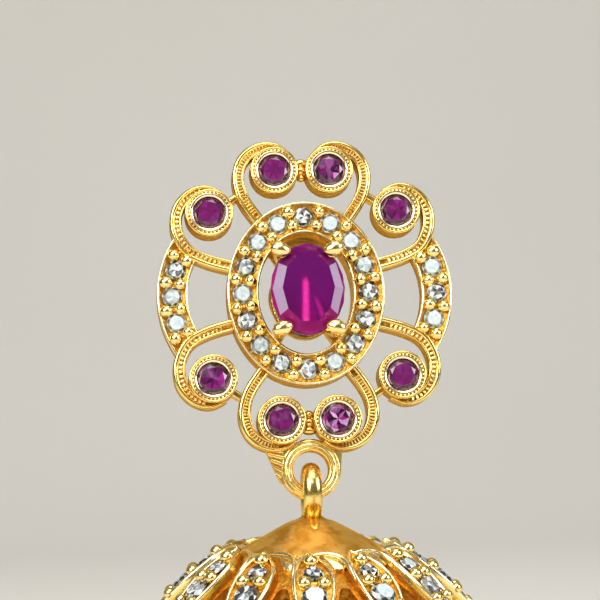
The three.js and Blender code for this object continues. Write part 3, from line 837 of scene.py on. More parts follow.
def places_recipe() -> Recipe:
    """Sets a piece on each place, turned and sized as the place says.

    Returns:
        The recipe.
    """
    recipe = Recipe("PieceOnPlaces", Piece=bpy.types.Object)
    sheet = recipe.sheet
    turn, size = (sheet.add("GeometryNodeInputNamedAttribute", {"data_type": "FLOAT_VECTOR"}, {"Name": name})
                  for name in ("turn", "size"))
    rotation = sheet.add("FunctionNodeEulerToRotation", None, {"Euler": turn})
    recipe.close(Points=recipe.given("Geometry"), Instance=recipe.piece(), Rotation=rotation, Scale=size)
    return recipe


def round_recipe() -> Recipe:
    """Repeats a piece round the z axis.

    Returns:
        The recipe.
    """
    recipe = Recipe("RoundTheAxis", Count=int, First=float)
    sheet = recipe.sheet
    count = recipe.given("Count")
    points = sheet.add("GeometryNodePoints", None, {"Count": count})
    index = sheet.add("GeometryNodeInputIndex")
    angle = index * TURN * sheet.math("DIVIDE", 1.0, count) + recipe.given("First")
    turn = sheet.add("ShaderNodeCombineXYZ", None, {"Z": angle})
    rotation = sheet.add("FunctionNodeEulerToRotation", None, {"Euler": turn})
    recipe.close(Points=points, Instance=recipe.given("Geometry"), Rotation=rotation)
    return recipe


@dataclass
class Place:
    """Where a repeated piece goes.

    Args:
        at: Its place.
        turn: Its turns about x, y and z.
        size: Its size along each axis.
    """

    at: Sequence[float]
    turn: Sequence[float] = (0.0, 0.0, 0.0)
    size: Sequence[float] = (1.0, 1.0, 1.0)


class Workshop:
    """Finishes, recipes and the last steps that every piece takes."""

    def __init__(self) -> None:
        """Builds the finishes and the recipes once."""
        self.gold = GoldFinish("cast_gold").material()
        # Dome gold, satin and darker orange than the cast gold: painted shade, as the dome lies in shade
        # between the petals.
        self.dome_gold = GoldFinish(
            "dome_gold", (0.80, 0.46, 0.08), (0.46, 0.16, 0.012), 0.26, 0.02).material()
        # Ring gold, wavier and lighter: the lighter colour is painted light, as the ring catches more light.
        self.ring_gold = GoldFinish("ring_gold", (0.98, 0.74, 0.26), (0.6, 0.28, 0.03), 0.2, 0.035).material()
        # Bead gold, paler for the beads, grains, claw heads and petal sweeps: partly polish, partly painted
        # light on these raised parts.
        self.bead_gold = GoldFinish(
            "bead_gold", (0.99, 0.80, 0.34), (0.62, 0.32, 0.04), 0.15, 0.004).material()
        self.satin = SatinFinish("satin_amber").material()
        # Stone ramps run from painted shade on dark facets to painted glints on bright ones.
        self.clear = StoneFinish("clear_glass", (
            (0.0, (0.02, 0.018, 0.02)), (0.25, (0.12, 0.10, 0.09)), (0.5, (0.30, 0.36, 0.38)),
            (0.75, (0.62, 0.74, 0.76)), (1.0, (0.97, 0.99, 1.0))), 1.6).material()
        # Bell stones: the same painted facet light, with more contrast.
        self.mottled = StoneFinish("mottled_glass", (
            (0.0, (0.015, 0.013, 0.014)), (0.35, (0.06, 0.05, 0.045)), (0.5, (0.24, 0.28, 0.30)),
            (0.7, (0.58, 0.70, 0.73)), (1.0, (0.97, 0.99, 1.0))), 1.5, gain=1.1, offset=-0.12).material()
        # Ruby ramp of painted facet light, with lavender patches of painted reflection.
        self.ruby = StoneFinish("ruby_glass", (
            (0.0, (0.015, 0.0, 0.012)), (0.3, (0.05, 0.002, 0.036)), (0.5, (0.13, 0.006, 0.095)),
            (0.75, (0.30, 0.02, 0.24)), (1.0, (0.62, 0.42, 0.64))), 1.1, 0.0, 0.5, 0.1, 1.6, 0.3,
            (0.30, 0.15, 0.32), 0.4, 0.9).material()
        # Big stone's ramp of painted light, from dark shade to pink and lavender.
        self.heart = FannedStoneFinish("heart_glass", (
            (0.0, (0.03, 0.001, 0.028)), (0.3, (0.08, 0.003, 0.058)), (0.45, (0.14, 0.004, 0.095)),
            (0.6, (0.25, 0.008, 0.13)), (0.82, (0.56, 0.025, 0.26)), (1.0, (0.38, 0.28, 0.42)))).material()
        self.grains = grains_recipe()
        self.places = places_recipe()
        self.round = round_recipe()

    def hand_over(self, name: str, body: Body, mesh: Any, finish: Any = None, slot: Slot = Slot.GOLD,
                  stands_for: Sequence[str] = (), sharp: float = 35.0) -> None:
        """Puts a piece in the frame and on its body.

        Args:
            name: Name of the piece.
            body: The body that it rides on.
            mesh: Its mesh in millimetres.
            finish: Its material, if the mesh has none yet.
            slot: The record's slot of its material; it is not used.
            stands_for: The CAD nodes that it replaces.
            sharp: Angle in degrees over which an edge stays sharp.
        """
        mesh.transform(PLACES[body])
        if finish is not None:
            mesh.materials.clear()
            mesh.materials.append(finish)
        mesh.set_sharp_from_angle(angle=math.radians(sharp))
        mesh.name = name
        piece = bpy.data.objects.new(name, mesh)
        bpy.context.scene.collection.objects.link(piece)
        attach(piece, body.value)
        if stands_for:
            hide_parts(*stands_for)
        mesh.calc_loop_triangles()
        LOG.info("%s: %d triangles", name, len(mesh.loop_triangles))

    def set_out(self, name: str, body: Body, piece: Any, places: Sequence[Place], finish: Any,
                **more: Any) -> None:
        """Copies a mesh to many places and hands the copies over as one piece.

        Args:
            name: Name of the piece.
            body: The body that it rides on.
            piece: The mesh to copy.
            places: Where the copies go.
            finish: Their material.
            more: What hand_over takes besides.
        """
        base = bpy.data.meshes.new(name)
        base.from_pydata([tuple(p.at) for p in places], [], [])
        for label in ("turn", "size"):
            values = np.array([getattr(p, label) for p in places], np.float32)
            base.attributes.new(label, "FLOAT_VECTOR", "POINT").data.foreach_set("vector", values.ravel())
        self.hand_over(name, body, self.places.run(base, piece, Finish=finish), **more)

    def set_grains(self, name: str, grain: Any, lines: Sequence[np.ndarray], closed: bool, height: float,
                   pitch: float) -> None:
        """Sets grains along lines of the stud and hands them over as one piece.

        Args:
            name: Name of the piece.
            grain: The mesh of one grain.
            lines: Flat lines.
            closed: Whether each line returns to its start.
            height: Height of the lines.
            pitch: Step from grain to grain.
        """
        points: list[tuple[float, float, float]] = []
        edges: list[tuple[int, int]] = []
        for line in lines:
            start = len(points)
            points += [(x, y, height) for x, y in line]
            edges += [(start + i, start + i + 1) for i in range(len(line) - 1)]
            if closed:
                edges.append((start + len(line) - 1, start))
        base = bpy.data.meshes.new(name)
        base.from_pydata(points, edges, [])
        self.hand_over(name, Body.STUD, self.grains.run(base, grain, Pitch=pitch, Finish=self.bead_gold))


# Shapes that repeat


def bead_mesh(sides: int = 16) -> Any:
    """A ball of radius 1 with its widest line at z = 0."""
    profile = arc((0.0, 0.0), 1.0, -90, 90, sides // 2)
    return Sketch().turned(profile, sides, closed=False).mesh("bead")


def grain_mesh(length: float, width: float, height: float) -> Any:
    """One grain of an edge: a small rounded bar across the line, whose middle is at z = 0.

    Args:
        length: Its size across the line.
        width: Its size along the line.
        height: Its height.

    Returns:
        The mesh.
    """
    shares = [(-1.0, 0.35), (-0.8, 0.85), (0.0, 1.0), (0.8, 0.85), (1.0, 0.35)]
    rows = [[(width / 2 * math.cos(a) * size, share * length / 2, height * math.sin(a) * size)
             for a in np.linspace(0.0, math.pi, 5)] for share, size in shares]
    return Sketch().grid(rows, caps=True).mesh("grain")


def brilliant_mesh() -> Any:
    """A round brilliant of radius 1 with its widest line at z = 0, and the painted light of its back facets
    drawn on the table.

    Returns:
        The mesh.
    """
    cut = CutStone(8)
    main, side = cut.ring(1.0, 0.0, 0.5), cut.ring(1.0, 0.0)
    mid, table, inner = cut.ring(0.84, 0.18), cut.ring(0.68, 0.33, 0.5), cut.ring(0.3, 0.32)
    center = cut.tip(0.33)
    low_main, low_side = cut.ring(1.0, -0.07, 0.5), cut.ring(1.0, -0.07)
    point = cut.tip(-0.8)
    for k in range(cut.count):
        n = (k + 1) % cut.count
        # The first number of each facet is its painted light and shade, from dark to bright.
        cut.facet(0.62, side + k, main + k, mid + k)
        cut.facet(0.78, main + k, side + n, mid + n)
        cut.facet(0.3, mid + k, main + k, mid + n, table + k)
        cut.facet(0.58, mid + n, table + n, table + k)
        cut.facet(0.85, table + k, table + n, inner + n)
        cut.facet(0.79, center, inner + k, table + k, inner + n)
        cut.facet(0.4, low_side + k, low_main + k, main + k, side + k)
        cut.facet(0.4, low_main + k, low_side + n, side + n, main + k)
        cut.facet(0.3, point, low_main + k, low_side + k)
        cut.facet(0.3, point, low_side + n, low_main + k)
    return cut.mesh("brilliant")


# The stud


@dataclass(frozen=True)
class StudSizes:
    """Sizes that the parts of the stud share, in millimetres."""

    back: float = 0.65
    halo_face: float = 2.55
    cup_face: float = 2.45
    curl_face: float = 2.05
    crescent_face: float = 1.85
    halo_half_width: float = 4.1
    halo_half_height: float = 5.0
    halo_band: float = 2.05
    cup_radius: float = 1.58
    standoff_width: float = 2.9
    standoff_height: float = 2.42
    top_cup_at: float = 77.0
    side_cup_at: float = 40.2
    quarters: tuple[tuple[int, int], ...] = ((1, 1), (-1, 1), (1, -1), (-1, -1))

    def halo_line(self, count: int, first: float = 0.0) -> np.ndarray:
        """Points of the halo's middle line."""
        return oval(self.halo_half_width, self.halo_half_height, count, first)

    @property
    def edge(self) -> tuple[float, float]:
        """Half width and half height of the halo's outer edge."""
        return self.halo_half_width + self.halo_band / 2, self.halo_half_height + self.halo_band / 2

    def cup(self, degrees: float) -> np.ndarray:
        """Finds the middle of a cup of the upper right quarter.

        Args:
            degrees: Its place on the cups' oval.

        Returns:
            The middle.
        """
        width, height = self.edge
        a = math.radians(degrees)
        return np.array([(width + self.standoff_width) * math.cos(a),
                         (height + self.standoff_height) * math.sin(a)])

    @property
    def top_cup(self) -> np.ndarray:
        """Middle of the upper right quarter's inner cup."""
        return self.cup(self.top_cup_at)

    @property
    def side_cup(self) -> np.ndarray:
        """Middle of the upper right quarter's outer cup."""
        return self.cup(self.side_cup_at)

    def cup_places(self) -> list[tuple[str, np.ndarray]]:
        """Lists the eight cups.

        Returns:
            Name and middle of each.
        """
        made = []
        for x, y in self.quarters:
            across = "right" if x > 0 else "left"
            made.append((f"{'top' if y > 0 else 'bottom'}_{across}", self.top_cup * (x, y)))
            made.append((f"{'upper' if y > 0 else 'lower'}_{across}", self.side_cup * (x, y)))
        return made


@dataclass
class StoneBands:
    """The halo and the two crescents, with their clear stones and the beads that hold them."""

    shop: Workshop
    sizes: StudSizes
    stones: int = 16
    stone_radius: float = 0.66
    bead_radius: float = 0.43
    bead_reach: float = 0.47
    sink: float = 0.02
    rim_rise: float = 0.14
    rim_width: float = 0.16
    chamfer: float = 0.06
    floor_drop: float = 0.08
    crescent_reach: float = 3.52
    crescent_radius: float = 5.95
    crescent_half: float = 1.0
    crescent_angle: float = 34.0
    crescent_stones: int = 3
    crescent_pitch: float = 1.75

    def section(self, half: float, face: float) -> tuple[Profile, list[float]]:
        """Section of a band: upright walls, a rounded rim along each edge and a sunk floor.

        Args:
            half: Half the band's width.
            face: Height of its face.

        Returns:
            The section, and the painted shade of each of its points, with painted highlight below 0.
        """
        back, rim, radius, low = self.sizes.back, self.rim_width, self.rim_width / 2, face - self.floor_drop
        left: Profile = [(-half + self.chamfer, back), (-half, back + self.chamfer), (-half, face - 0.25),
                         *arc((-half + radius, face + self.rim_rise - radius), radius, 180, 0, 8),
                         (-half + rim, low + 0.04), (-half + rim + 0.07, low)]
        # A painted highlight on the rims' top arcs, and painted shade on the floor and the walls, the outer
        # wall the most.
        edge = [*[-0.8] * 9, 1.2, 1.3]
        depth = [1.1, 0.9, 0.6, *edge, 1.0, 1.0, *reversed([1.5, 1.4, 0.9, *edge])]
        floor: Profile = [(-half / 3, low), (half / 3, low)]
        return [*left, *floor, *[(-x, z) for x, z in reversed(left)]], depth

    def crescent_point(self, side: int, turn: np.ndarray | float, out: float = 0.0) -> np.ndarray:
        """Points of a crescent's middle line.

        Args:
            side: 1 for the right crescent, -1 for the left.
            turn: Turn down from its middle, in radians.
            out: Distance outside the line.

        Returns:
            The points.
        """
        middle = self.sizes.edge[0] + self.crescent_reach - self.crescent_radius
        radius = self.crescent_radius + out
        return np.stack([side * (middle + radius * np.cos(turn)), -radius * np.sin(turn)], axis=-1)

    def castings(self) -> None:
        """Builds the three bands."""
        sizes, shop = self.sizes, self.shop
        section, depth = self.section(sizes.halo_band / 2, sizes.halo_face)
        halo = Sketch().swept(sizes.halo_line(200), section, True, depth)
        shop.hand_over("halo_setting", Body.STUD, halo.mesh("halo"), shop.gold, stands_for=["stud_frame"])
        section, depth = self.section(self.crescent_half, sizes.crescent_face)
        turns = np.radians(np.linspace(-self.crescent_angle, self.crescent_angle, 72))
        sketch = Sketch()
        for side in (-1, 1):
            sketch.swept(self.crescent_point(side, turns), section, False, depth)
        shop.hand_over("crescent_settings", Body.STUD, sketch.mesh("crescents"), shop.gold)

    def stones_and_beads(self) -> None:
        """Sets the clear stones and their beads."""
        sizes, shop, count = self.sizes, self.shop, self.crescent_stones
        size = (self.stone_radius,) * 3
        step = self.crescent_pitch / self.crescent_radius
        reaches = (-self.bead_reach, self.bead_reach)
        chance = np.random.default_rng(5)
        side_stones: list[Place] = []
        beads: list[Place] = []

        def bead(at: np.ndarray, face: float) -> None:
            """Adds one bead, a little uneven in size."""
            beads.append(Place((*at, face + self.sink), size=self.bead_radius * chance.uniform(0.9, 1.08, 3)))

        for side in (-1, 1):
            for i in range(count):
                at = self.crescent_point(side, (i - (count - 1) / 2) * step)
                side_stones.append(Place((*at, sizes.crescent_face - self.sink), (0, 0, i + side), size))
            for i in range(count + 1):
                for out in reaches:
                    bead(self.crescent_point(side, (i - count / 2) * step, out), sizes.crescent_face)
        away = across_of(sizes.halo_line(self.stones * 8), True)[4::8]
        for point, out in zip(sizes.halo_line(self.stones, 0.5), away):
            for reach in reaches:
                bead(point + out * reach, sizes.halo_face)
        halo = [Place((*at, sizes.halo_face - self.sink), (0, 0, 0.4 * i), size)
                for i, at in enumerate(sizes.halo_line(self.stones))]
        halo_names = [f"halo_stone_{i + 1:02d}" for i in range(self.stones)]
        side_names = [f"side_stone_{side}_{i + 1}" for side in ("left", "right") for i in range(count)]
        sets = (("halo_stones", halo, halo_names), ("side_stones", side_stones, side_names))
        for name, places, nodes in sets:
            shop.set_out(name, Body.STUD, brilliant_mesh(), places, shop.clear, slot=Slot.CLEAR,
                         stands_for=nodes, sharp=1.0)
        shop.set_out("stud_beads", Body.STUD, bead_mesh(), beads, shop.bead_gold)


@dataclass
class Cups:
    """The eight round settings with their grained edges and ruby-coloured stones."""

    shop: Workshop
    sizes: StudSizes
    bore: float = 0.6
    chamfer: float = 0.06
    lip: float = 0.1
    groove: float = 0.17
    stone_radius: float = 1.07
    stone_flatness: float = 0.8
    stone_sink: float = 0.26
    grain_radius: float = 1.34
    grain_pitch: float = 0.262
    grain_sink: float = 0.16
    grain: tuple[float, float, float] = (0.15, 0.17, 0.12)

    def section(self) -> tuple[Profile, list[float]]:
        """Draws the section of a cup's wall.

        Returns:
            The section, and the painted shade of each of its points, with painted highlight below 0.
        """
        radius, back, face = self.sizes.cup_radius, self.sizes.back, self.sizes.cup_face
        lip = arc((radius - self.lip, face - 0.12), self.lip, 0, 180, 8)
        # Painted highlight on the bevel round the stone (below 0), and painted shade on the walls, the groove
        # and down into the bore.
        bevel = [(1.29, 0.06, 0.2), (1.27, 0.02, -0.9), (1.23, 0.01, -1.0), (1.13, 0.04, -1.0),
                 (1.07, 0.09, -1.0), (1.05, 0.2, 0.3), (1.0, 0.6, 1.0), (self.bore, 0.9, 1.0)]
        return parted([
            (self.bore, back, 1.0), (radius - self.chamfer, back, 1.2), (radius, back + self.chamfer, 1.5),
            (radius, face - 0.35, 0.9), *[(x, z, 0.0) for x, z in lip],
            (1.37, face - self.groove, 1.2), (1.31, face - self.groove, 1.2),
            *[(r, face - down, depth) for r, down, depth in bevel]])

    def build(self) -> None:
        """Builds the settings, grains and stones."""
        shop, places, face = self.shop, self.sizes.cup_places(), self.sizes.cup_face
        section, depth = self.section()
        sketch = Sketch()
        for _, (x, y) in places:
            sketch.turned(section, 72, (x, y, 0.0), depth)
        shop.hand_over("cup_settings", Body.STUD, sketch.mesh("cups"), shop.gold)
        circle = oval(self.grain_radius, self.grain_radius, 96)
        circles = [circle + middle for _, middle in places]
        shop.set_grains("cup_grains", grain_mesh(*self.grain), circles, True,
                        face - self.grain_sink, self.grain_pitch)
        size = self.stone_radius * np.array((1.0, 1.0, self.stone_flatness))
        stones = [Place((x, y, face - self.stone_sink), (0, 0, 0.7 * i), size)
                  for i, (_, (x, y)) in enumerate(places)]
        shop.set_out("cup_rubies", Body.STUD, brilliant_mesh(), stones, shop.ruby, slot=Slot.RUBY,
                     stands_for=[f"ruby_{name}" for name, _ in places], sharp=1.0)


@dataclass
class Curls:
    """The eight curls that leave the halo and wind round the cups, with their row of grains."""

    shop: Workshop
    sizes: StudSizes
    width: float = 0.8
    groove: float = 0.16
    grain_aside: float = -0.075
    grain_height: float = 0.14
    top_leaves_at: float = 56.0
    side_leaves_at: float = 19.0
    top_bends: tuple[tuple[float, float], ...] = (
        (-51, 1.82), (-27, 1.62), (-1, 1.48), (27, 1.34), (61, 1.16), (92, 1.04), (123, 0.92))
    side_bends: tuple[tuple[float, float], ...] = (
        (-85, 1.95), (-58, 1.77), (-29, 1.53), (0, 1.34), (27, 1.2), (55, 1.11), (85, 1.03), (120, 0.94))

    def line(self, quarter: tuple[int, int], cup: np.ndarray, leaves_at: float,
             bends: Sequence[tuple[float, float]]) -> np.ndarray:
        """The middle line of a curl.

        Args:
            quarter: Signs of its quarter.
            cup: Middle of the cup in the upper right quarter.
            leaves_at: Place on the halo where it starts, in degrees.
            bends: Direction and distance of each bend from the cup.

        Returns:
            Its points.
        """
        start = np.array(self.sizes.edge) - self.sizes.halo_band / 4
        a = math.radians(leaves_at)
        knots = [start * (math.cos(a), math.sin(a))]
        for at, out in bends:
            knots += [cup + arc((0.0, 0.0), out * self.sizes.cup_radius, at, at, 1)[0]]
        return rounded_line(np.array(knots) * quarter, 110)

    def section(self) -> tuple[Profile, list[float]]:
        """Draws the section of a curl, with a bead along its outer edge.

        Returns:
            The section, and the painted shade of each of its points.
        """
        face, back, half = self.sizes.curl_face, self.sizes.back, self.width / 2
        thin = arc((-half + 0.1, face - 0.1), 0.1, 180, 10, 6)
        thick = arc((half - 0.18, face - self.groove), 0.18, 160, 0, 8)
        # Painted shade on the walls and in the groove; none on the two rims.
        return parted([
            (-half + 0.05, back, 0.9), (-half, back + 0.05, 1.3), (-half, face - 0.3, 0.8),
            *[(x, z, 0.0) for x, z in thin],
            (-half + 0.21, face - self.groove, 1.2), (0.04, face - self.groove, 1.2),
            *[(x, z, 0.0) for x, z in thick],
            (half, face - 0.35, 0.8), (half, back + 0.05, 1.3), (half - 0.05, back, 0.9)])

    def build(self) -> None:
        """Builds the bands and the grains."""
        sizes, shop = self.sizes, self.shop
        section, depth = self.section()
        sketch = Sketch()
        rows: dict[str, list[np.ndarray]] = {"top": [], "side": []}
        for quarter in sizes.quarters:
            side = float(quarter[0] * quarter[1])
            for row, cup, leaves_at, bends in (
                    ("top", sizes.top_cup, self.top_leaves_at, self.top_bends),
                    ("side", sizes.side_cup, self.side_leaves_at, self.side_bends)):
                line = self.line(quarter, cup, leaves_at, bends)
                share = np.interp(np.linspace(0, 1, len(line)), [0, 0.7, 1], [1, 1, 0.6])
                sketch.swept(line, section, False, depth, share, side)
                shift = across_of(line, False) * (share * self.grain_aside * side)[:, None]
                rows[row].append((line + shift)[14:-16])
        shop.hand_over("curl_bands", Body.STUD, sketch.mesh("curls"), shop.gold)
        for row, length, pitch in (("top", 0.34, 0.21), ("side", 0.26, 0.29)):
            grain = grain_mesh(length, pitch * 0.72, self.grain_height)
            shop.set_grains(f"{row}_curl_grains", grain, rows[row], False,
                            sizes.curl_face - self.groove, pitch)


@dataclass
class Links:
    """Small bars that tie the settings to each other, with three lumps at the top and bottom."""

    shop: Workshop
    sizes: StudSizes
    width: float = 0.5
    length: float = 1.75
    depth: float = 1.0
    lumps: tuple[tuple[float, float, tuple[float, float, float]], ...] = (
        (-0.42, -0.1, (0.3, 0.26, 0.3)), (0.1, -0.1, (0.36, 0.3, 0.24)), (0.62, -0.25, (0.5, 0.3, 0.28)))

    def build(self) -> None:
        """Builds the bars and the lumps."""
        shop, radius, back = self.shop, self.sizes.cup_radius, self.sizes.back
        face = back + self.depth
        section = bar_section(self.width / 2, back, face, 0.15, 4)
        top, side = self.sizes.top_cup, self.sizes.side_cup
        reach = top[0] - radius + self.width
        toward = (side - top) / np.linalg.norm(side - top)
        ends = [((-reach, up * top[1]), (reach, up * top[1])) for up in (1, -1)]
        near, far = side - toward * radius / 2, side - toward * (radius / 2 + self.length)
        ends += [(near * quarter, far * quarter) for quarter in self.sizes.quarters]
        sketch = Sketch()
        for start, end in ends:
            # Light painted shade on the bars.
            sketch.swept(np.linspace(start, end, 6), section, recess=0.3)
        shop.hand_over("link_bars", Body.STUD, sketch.mesh("links"), shop.gold)
        lumps = [Place((0.0, up * (top[1] + shift), face + height), size=size)
                 for up in (1, -1) for shift, height, size in self.lumps]
        shop.set_out("link_lumps", Body.STUD, bead_mesh(), lumps, shop.gold)


@dataclass
class CenterStone:
    """The raised oval stone, its four claws and the basket that carries them."""

    shop: Workshop
    sizes: StudSizes
    half_width: float = 2.4
    half_height: float = 3.0
    lift: float = 1.3
    claw_at: float = 50.0
    claw_radius: float = 0.36
    claw_head: tuple[float, float, float] = (0.72, 0.5, 0.42)
    claw_head_turn: float = math.radians(20.0)
    stone_gap: float = 0.05
    claw_bend: float = 1.4
    basket_inset: float = 0.5
    basket_width: float = 0.7
    basket_depth: float = 0.6
    ledge_half: float = 0.34
    ledge_rise: float = 1.1
    ledge_reach: float = 36.0

    @property
    def girdle(self) -> float:
        """Height of the stone's widest line."""
        return self.sizes.halo_face + self.lift

    def stone_mesh(self) -> Any:
        """The oval cut, with painted light: pale at its sides, dark at its top and pink at its foot.

        Returns:
            The mesh.
        """
        cut = CutStone(10, self.half_width, self.half_height)
        half, main = cut.ring(1.0, 0.0, 0.5), cut.ring(1.0, 0.0)
        shoulder, table = cut.ring((0.95, 0.96), 0.2), cut.ring((0.7, 0.77), 0.78)
        low_half, low_main = cut.ring(1.0, -0.14, 0.5), cut.ring(1.0, -0.14)
        point = cut.tip(-1.9)
        for k in range(cut.count):
            n = (k + 1) % cut.count
            turn = (k + 0.5) * TURN / cut.count
            up = math.sin(turn)
            # Painted light by which way each facet faces: pale at the sides, dark at the top, pinker towards
            # the foot.
            if abs(up) < 0.8:
                crown = 1.0 if up > -0.4 else 0.95
            else:
                crown = 0.36 if up > 0 else 0.6
            edge = 0.4 if up > 0.5 else 0.56 if up < -0.7 or math.cos(turn) < 0 else 0.46
            cut.facet(edge, main + k, half + k, shoulder + k)
            cut.facet(edge + 0.04, half + k, main + n, shoulder + n)
            cut.facet(edge + 0.08, half + k, shoulder + n, shoulder + k)
            cut.facet(crown, shoulder + k, shoulder + n, table + n, table + k)
            cut.facet(0.5, low_main + k, low_half + k, half + k, main + k)
            cut.facet(0.5, low_half + k, low_main + n, main + n, half + k)
            cut.facet(0.3, point, low_half + k, low_main + k)
            cut.facet(0.3, point, low_main + n, low_half + k)
        # The table's painted streaks come from its finish.
        cut.facet(-1.0, *range(table, table + cut.count))
        return cut.mesh("center_stone", self.girdle)

    def claw_ways(self) -> list[tuple[tuple[int, int], np.ndarray, float]]:
        """Finds where the claws stand.

        Returns:
            Quarter, outward direction and distance of the stone's edge at each claw.
        """
        a = math.radians(self.claw_at)
        out = np.array([self.half_width * math.cos(a), self.half_height * math.sin(a)])
        edge = float(np.linalg.norm(out))
        return [(quarter, out / edge * quarter, edge) for quarter in self.sizes.quarters]

    def claw(self, out: np.ndarray, edge: float) -> np.ndarray:
        """Draws one claw's wire, from the basket up to its head.

        Args:
            out: Its outward direction.
            edge: Distance of the stone's edge.

        Returns:
            Rows of points round the wire.
        """
        radius, beside = self.claw_radius, edge + self.stone_gap + self.claw_radius
        line = rounded_line([
            (edge - self.basket_inset, self.sizes.back + self.basket_depth / 2),
            (beside - 0.05, self.girdle - self.claw_bend), (beside, self.girdle - radius),
            (beside - radius, self.girdle + self.claw_head[2])], 20)
        along = np.gradient(line, axis=0)
        along /= np.linalg.norm(along, axis=1, keepdims=True)
        sideways = np.array([-out[1], out[0], 0.0])
        rows = []
        for (reach, height), (t_out, t_up) in zip(line, along):
            middle = np.array([*(out * reach), height])
            lean = np.array([*(out * -t_up), t_out])
            rows.append([middle + radius * (sideways * math.cos(w) + lean * math.sin(w))
                         for w in np.linspace(0, TURN, 16, endpoint=False)])
        return np.array(rows)

    def basket(self) -> Sketch:
        """Draws the foot ring, the ledge over the stone, the struts and the claws' wires.

        Returns:
            The sketch.
        """
        sizes, sketch, back, half = self.sizes, Sketch(), self.sizes.back, self.ledge_half
        face = back + self.basket_depth
        section = bar_section(self.basket_width / 2, back, face, 0.12, 3)
        foot = oval(self.half_width - self.basket_inset, self.half_height - self.basket_inset, 96)
        # Painted shade on the foot ring, the struts and the ledge's foot, light painted shade on the claws,
        # and a painted highlight on the ledge's top.
        sketch.swept(foot, section, True, recess=0.5)
        reach = np.array(sizes.edge) - sizes.halo_band - half + 0.05
        ledge = arc((0.0, 0.0), 1.0, 90 + self.ledge_reach, 90 - self.ledge_reach, 24)
        shelf = [(-half, back), (half, back), (half, face), (-half, face + self.ledge_rise)]
        sketch.swept(np.array(ledge) * reach, shelf, False, [0.5, 0.4, -0.5, -0.6])
        end = sizes.edge[1] - sizes.halo_band / 2
        for _, out, edge in self.claw_ways():
            sketch.swept(np.linspace(out * (edge - self.basket_inset), out * end, 8), section, recess=0.5)
            sketch.grid(self.claw(out, edge), False, True, 0.15, True)
        return sketch

    @staticmethod
    def head_mesh() -> Any:
        """A rounded claw head, narrower towards the stone.

        Returns:
            The mesh.
        """
        mesh = bead_mesh(28)
        for point in mesh.vertices:
            narrow = 1.0 - 0.22 * max(0.0, -point.co.x)
            point.co.y *= narrow
            point.co.z *= narrow
        return mesh

    def build(self) -> None:
        """Builds the stone and its basket."""
        shop = self.shop
        shop.hand_over("center_stone", Body.STUD, self.stone_mesh(), shop.heart, Slot.RUBY,
                       ["center_ruby"], 1.0)
        shop.hand_over("center_basket", Body.STUD, self.basket().mesh("basket"), shop.gold)
        length, width, height = self.claw_head
        heads = []
        for (x, y), out, edge in self.claw_ways():
            at = out * (edge + self.stone_gap + width / 2)
            turn = self.claw_head_turn * x * y + (math.pi if x < 0 else 0.0)
            heads.append(Place((*at, self.girdle + self.stone_gap + height), (0, 0, turn), self.claw_head))
        shop.set_out("claw_heads", Body.STUD, self.head_mesh(), heads, shop.bead_gold)


@dataclass
class HangRing:
    """The ridged ring under the stud and the plates that carry it."""

    shop: Workshop
    sizes: StudSizes
    hole: float = 1.16
    width: float = 0.8
    depth: float = 1.0
    drop: float = 3.14
    plate_left: float = 3.0
    plate_right: float = 2.1
    plate_drop: float = 0.8
    plate_depth: float = 0.8
    ridges: int = 3
    scratch: float = 0.05
    rod: float = 0.16

    RODS = (((-2.8, 1.3), (-1.75, 1.15)), ((-2.72, 1.0), (-1.7, 0.75)), ((-2.55, 0.62), (-1.75, 0.3)),
            ((-2.35, 0.2), (-1.85, -0.1)), ((-2.2, -0.2), (-1.85, -0.45)))

    def section(self) -> tuple[Profile, list[float]]:
        """Draws the section of the ring with its ridges in front.

        Returns:
            The section, and the painted shade of each of its points.
        """
        hole, outer, half = self.hole, self.hole + self.width, self.depth / 2
        rows = [(hole, half - 0.2, 0.9), (hole + 0.02, half - 0.12, 0.5)]
        # Painted shade in the grooves between the ridges and on the back and inner walls.
        for s in np.linspace(0.04, 0.96, 43):
            wave = 0.5 + 0.5 * math.cos(TURN * self.ridges * s)
            rows.append((hole + self.width * s, half - 0.03 - 0.1 * (2 * s - 1) ** 4 - self.scratch * wave,
                         0.5 * wave))
        rows += [(outer, half - 0.16, 0.2), (outer, -half + 0.08, 0.5), (outer - 0.08, -half, 0.6),
                 (hole + 0.08, -half, 0.8), (hole, -half + 0.08, 0.9)]
        return parted(rows)

    def build(self) -> None:
        """Builds the ring, its plates and the rods on the left one."""
        y = -self.sizes.top_cup[1] - self.drop
        z = self.sizes.back + (self.sizes.curl_face - self.sizes.back) / 2
        hole, outer, half = self.hole, self.hole + self.width, self.plate_depth / 2
        section, depth = self.section()
        sketch = Sketch().turned(section, 112, (0.0, y, z), depth)
        rise = self.drop - self.sizes.cup_radius
        # The plates get light painted shade.
        for corners in (
                [(-self.plate_left, rise), (-outer - 0.02, -self.plate_drop),
                 (-hole - 0.3, -self.plate_drop - 0.3), (-hole - 0.25, rise)],
                [(hole + 0.25, rise), (hole + 0.4, -0.1), (outer, 0.0), (self.plate_right, rise)]):
            line = evened(np.array(corners), 40, True)
            rows = []
            for inset, height in ((0.08, -half), (0, -half + 0.08), (0, half - 0.1), (0.1, half)):
                ring = line + (line.mean(axis=0) - line) * (inset / 1.2)
                rows.append(np.column_stack([ring[:, 0], ring[:, 1] + y, np.full(len(ring), z + height)]))
            sketch.grid(rows, False, True, 0.25, True)
        rod = arc((0.0, 0.0), self.rod, 0, 360, 12)[:-1]
        # Painted shade under each rod, fading to none on its top.
        for start, end in self.RODS:
            sketch.swept(np.linspace(start, end, 8) + (0.0, y), [(x, z + half + h) for x, h in rod],
                         recess=[0.5 - 0.5 * min(1.0, h / 0.1) for _, h in rod])
        self.shop.hand_over("hang_ring", Body.STUD, sketch.mesh("ring"), self.shop.ring_gold)


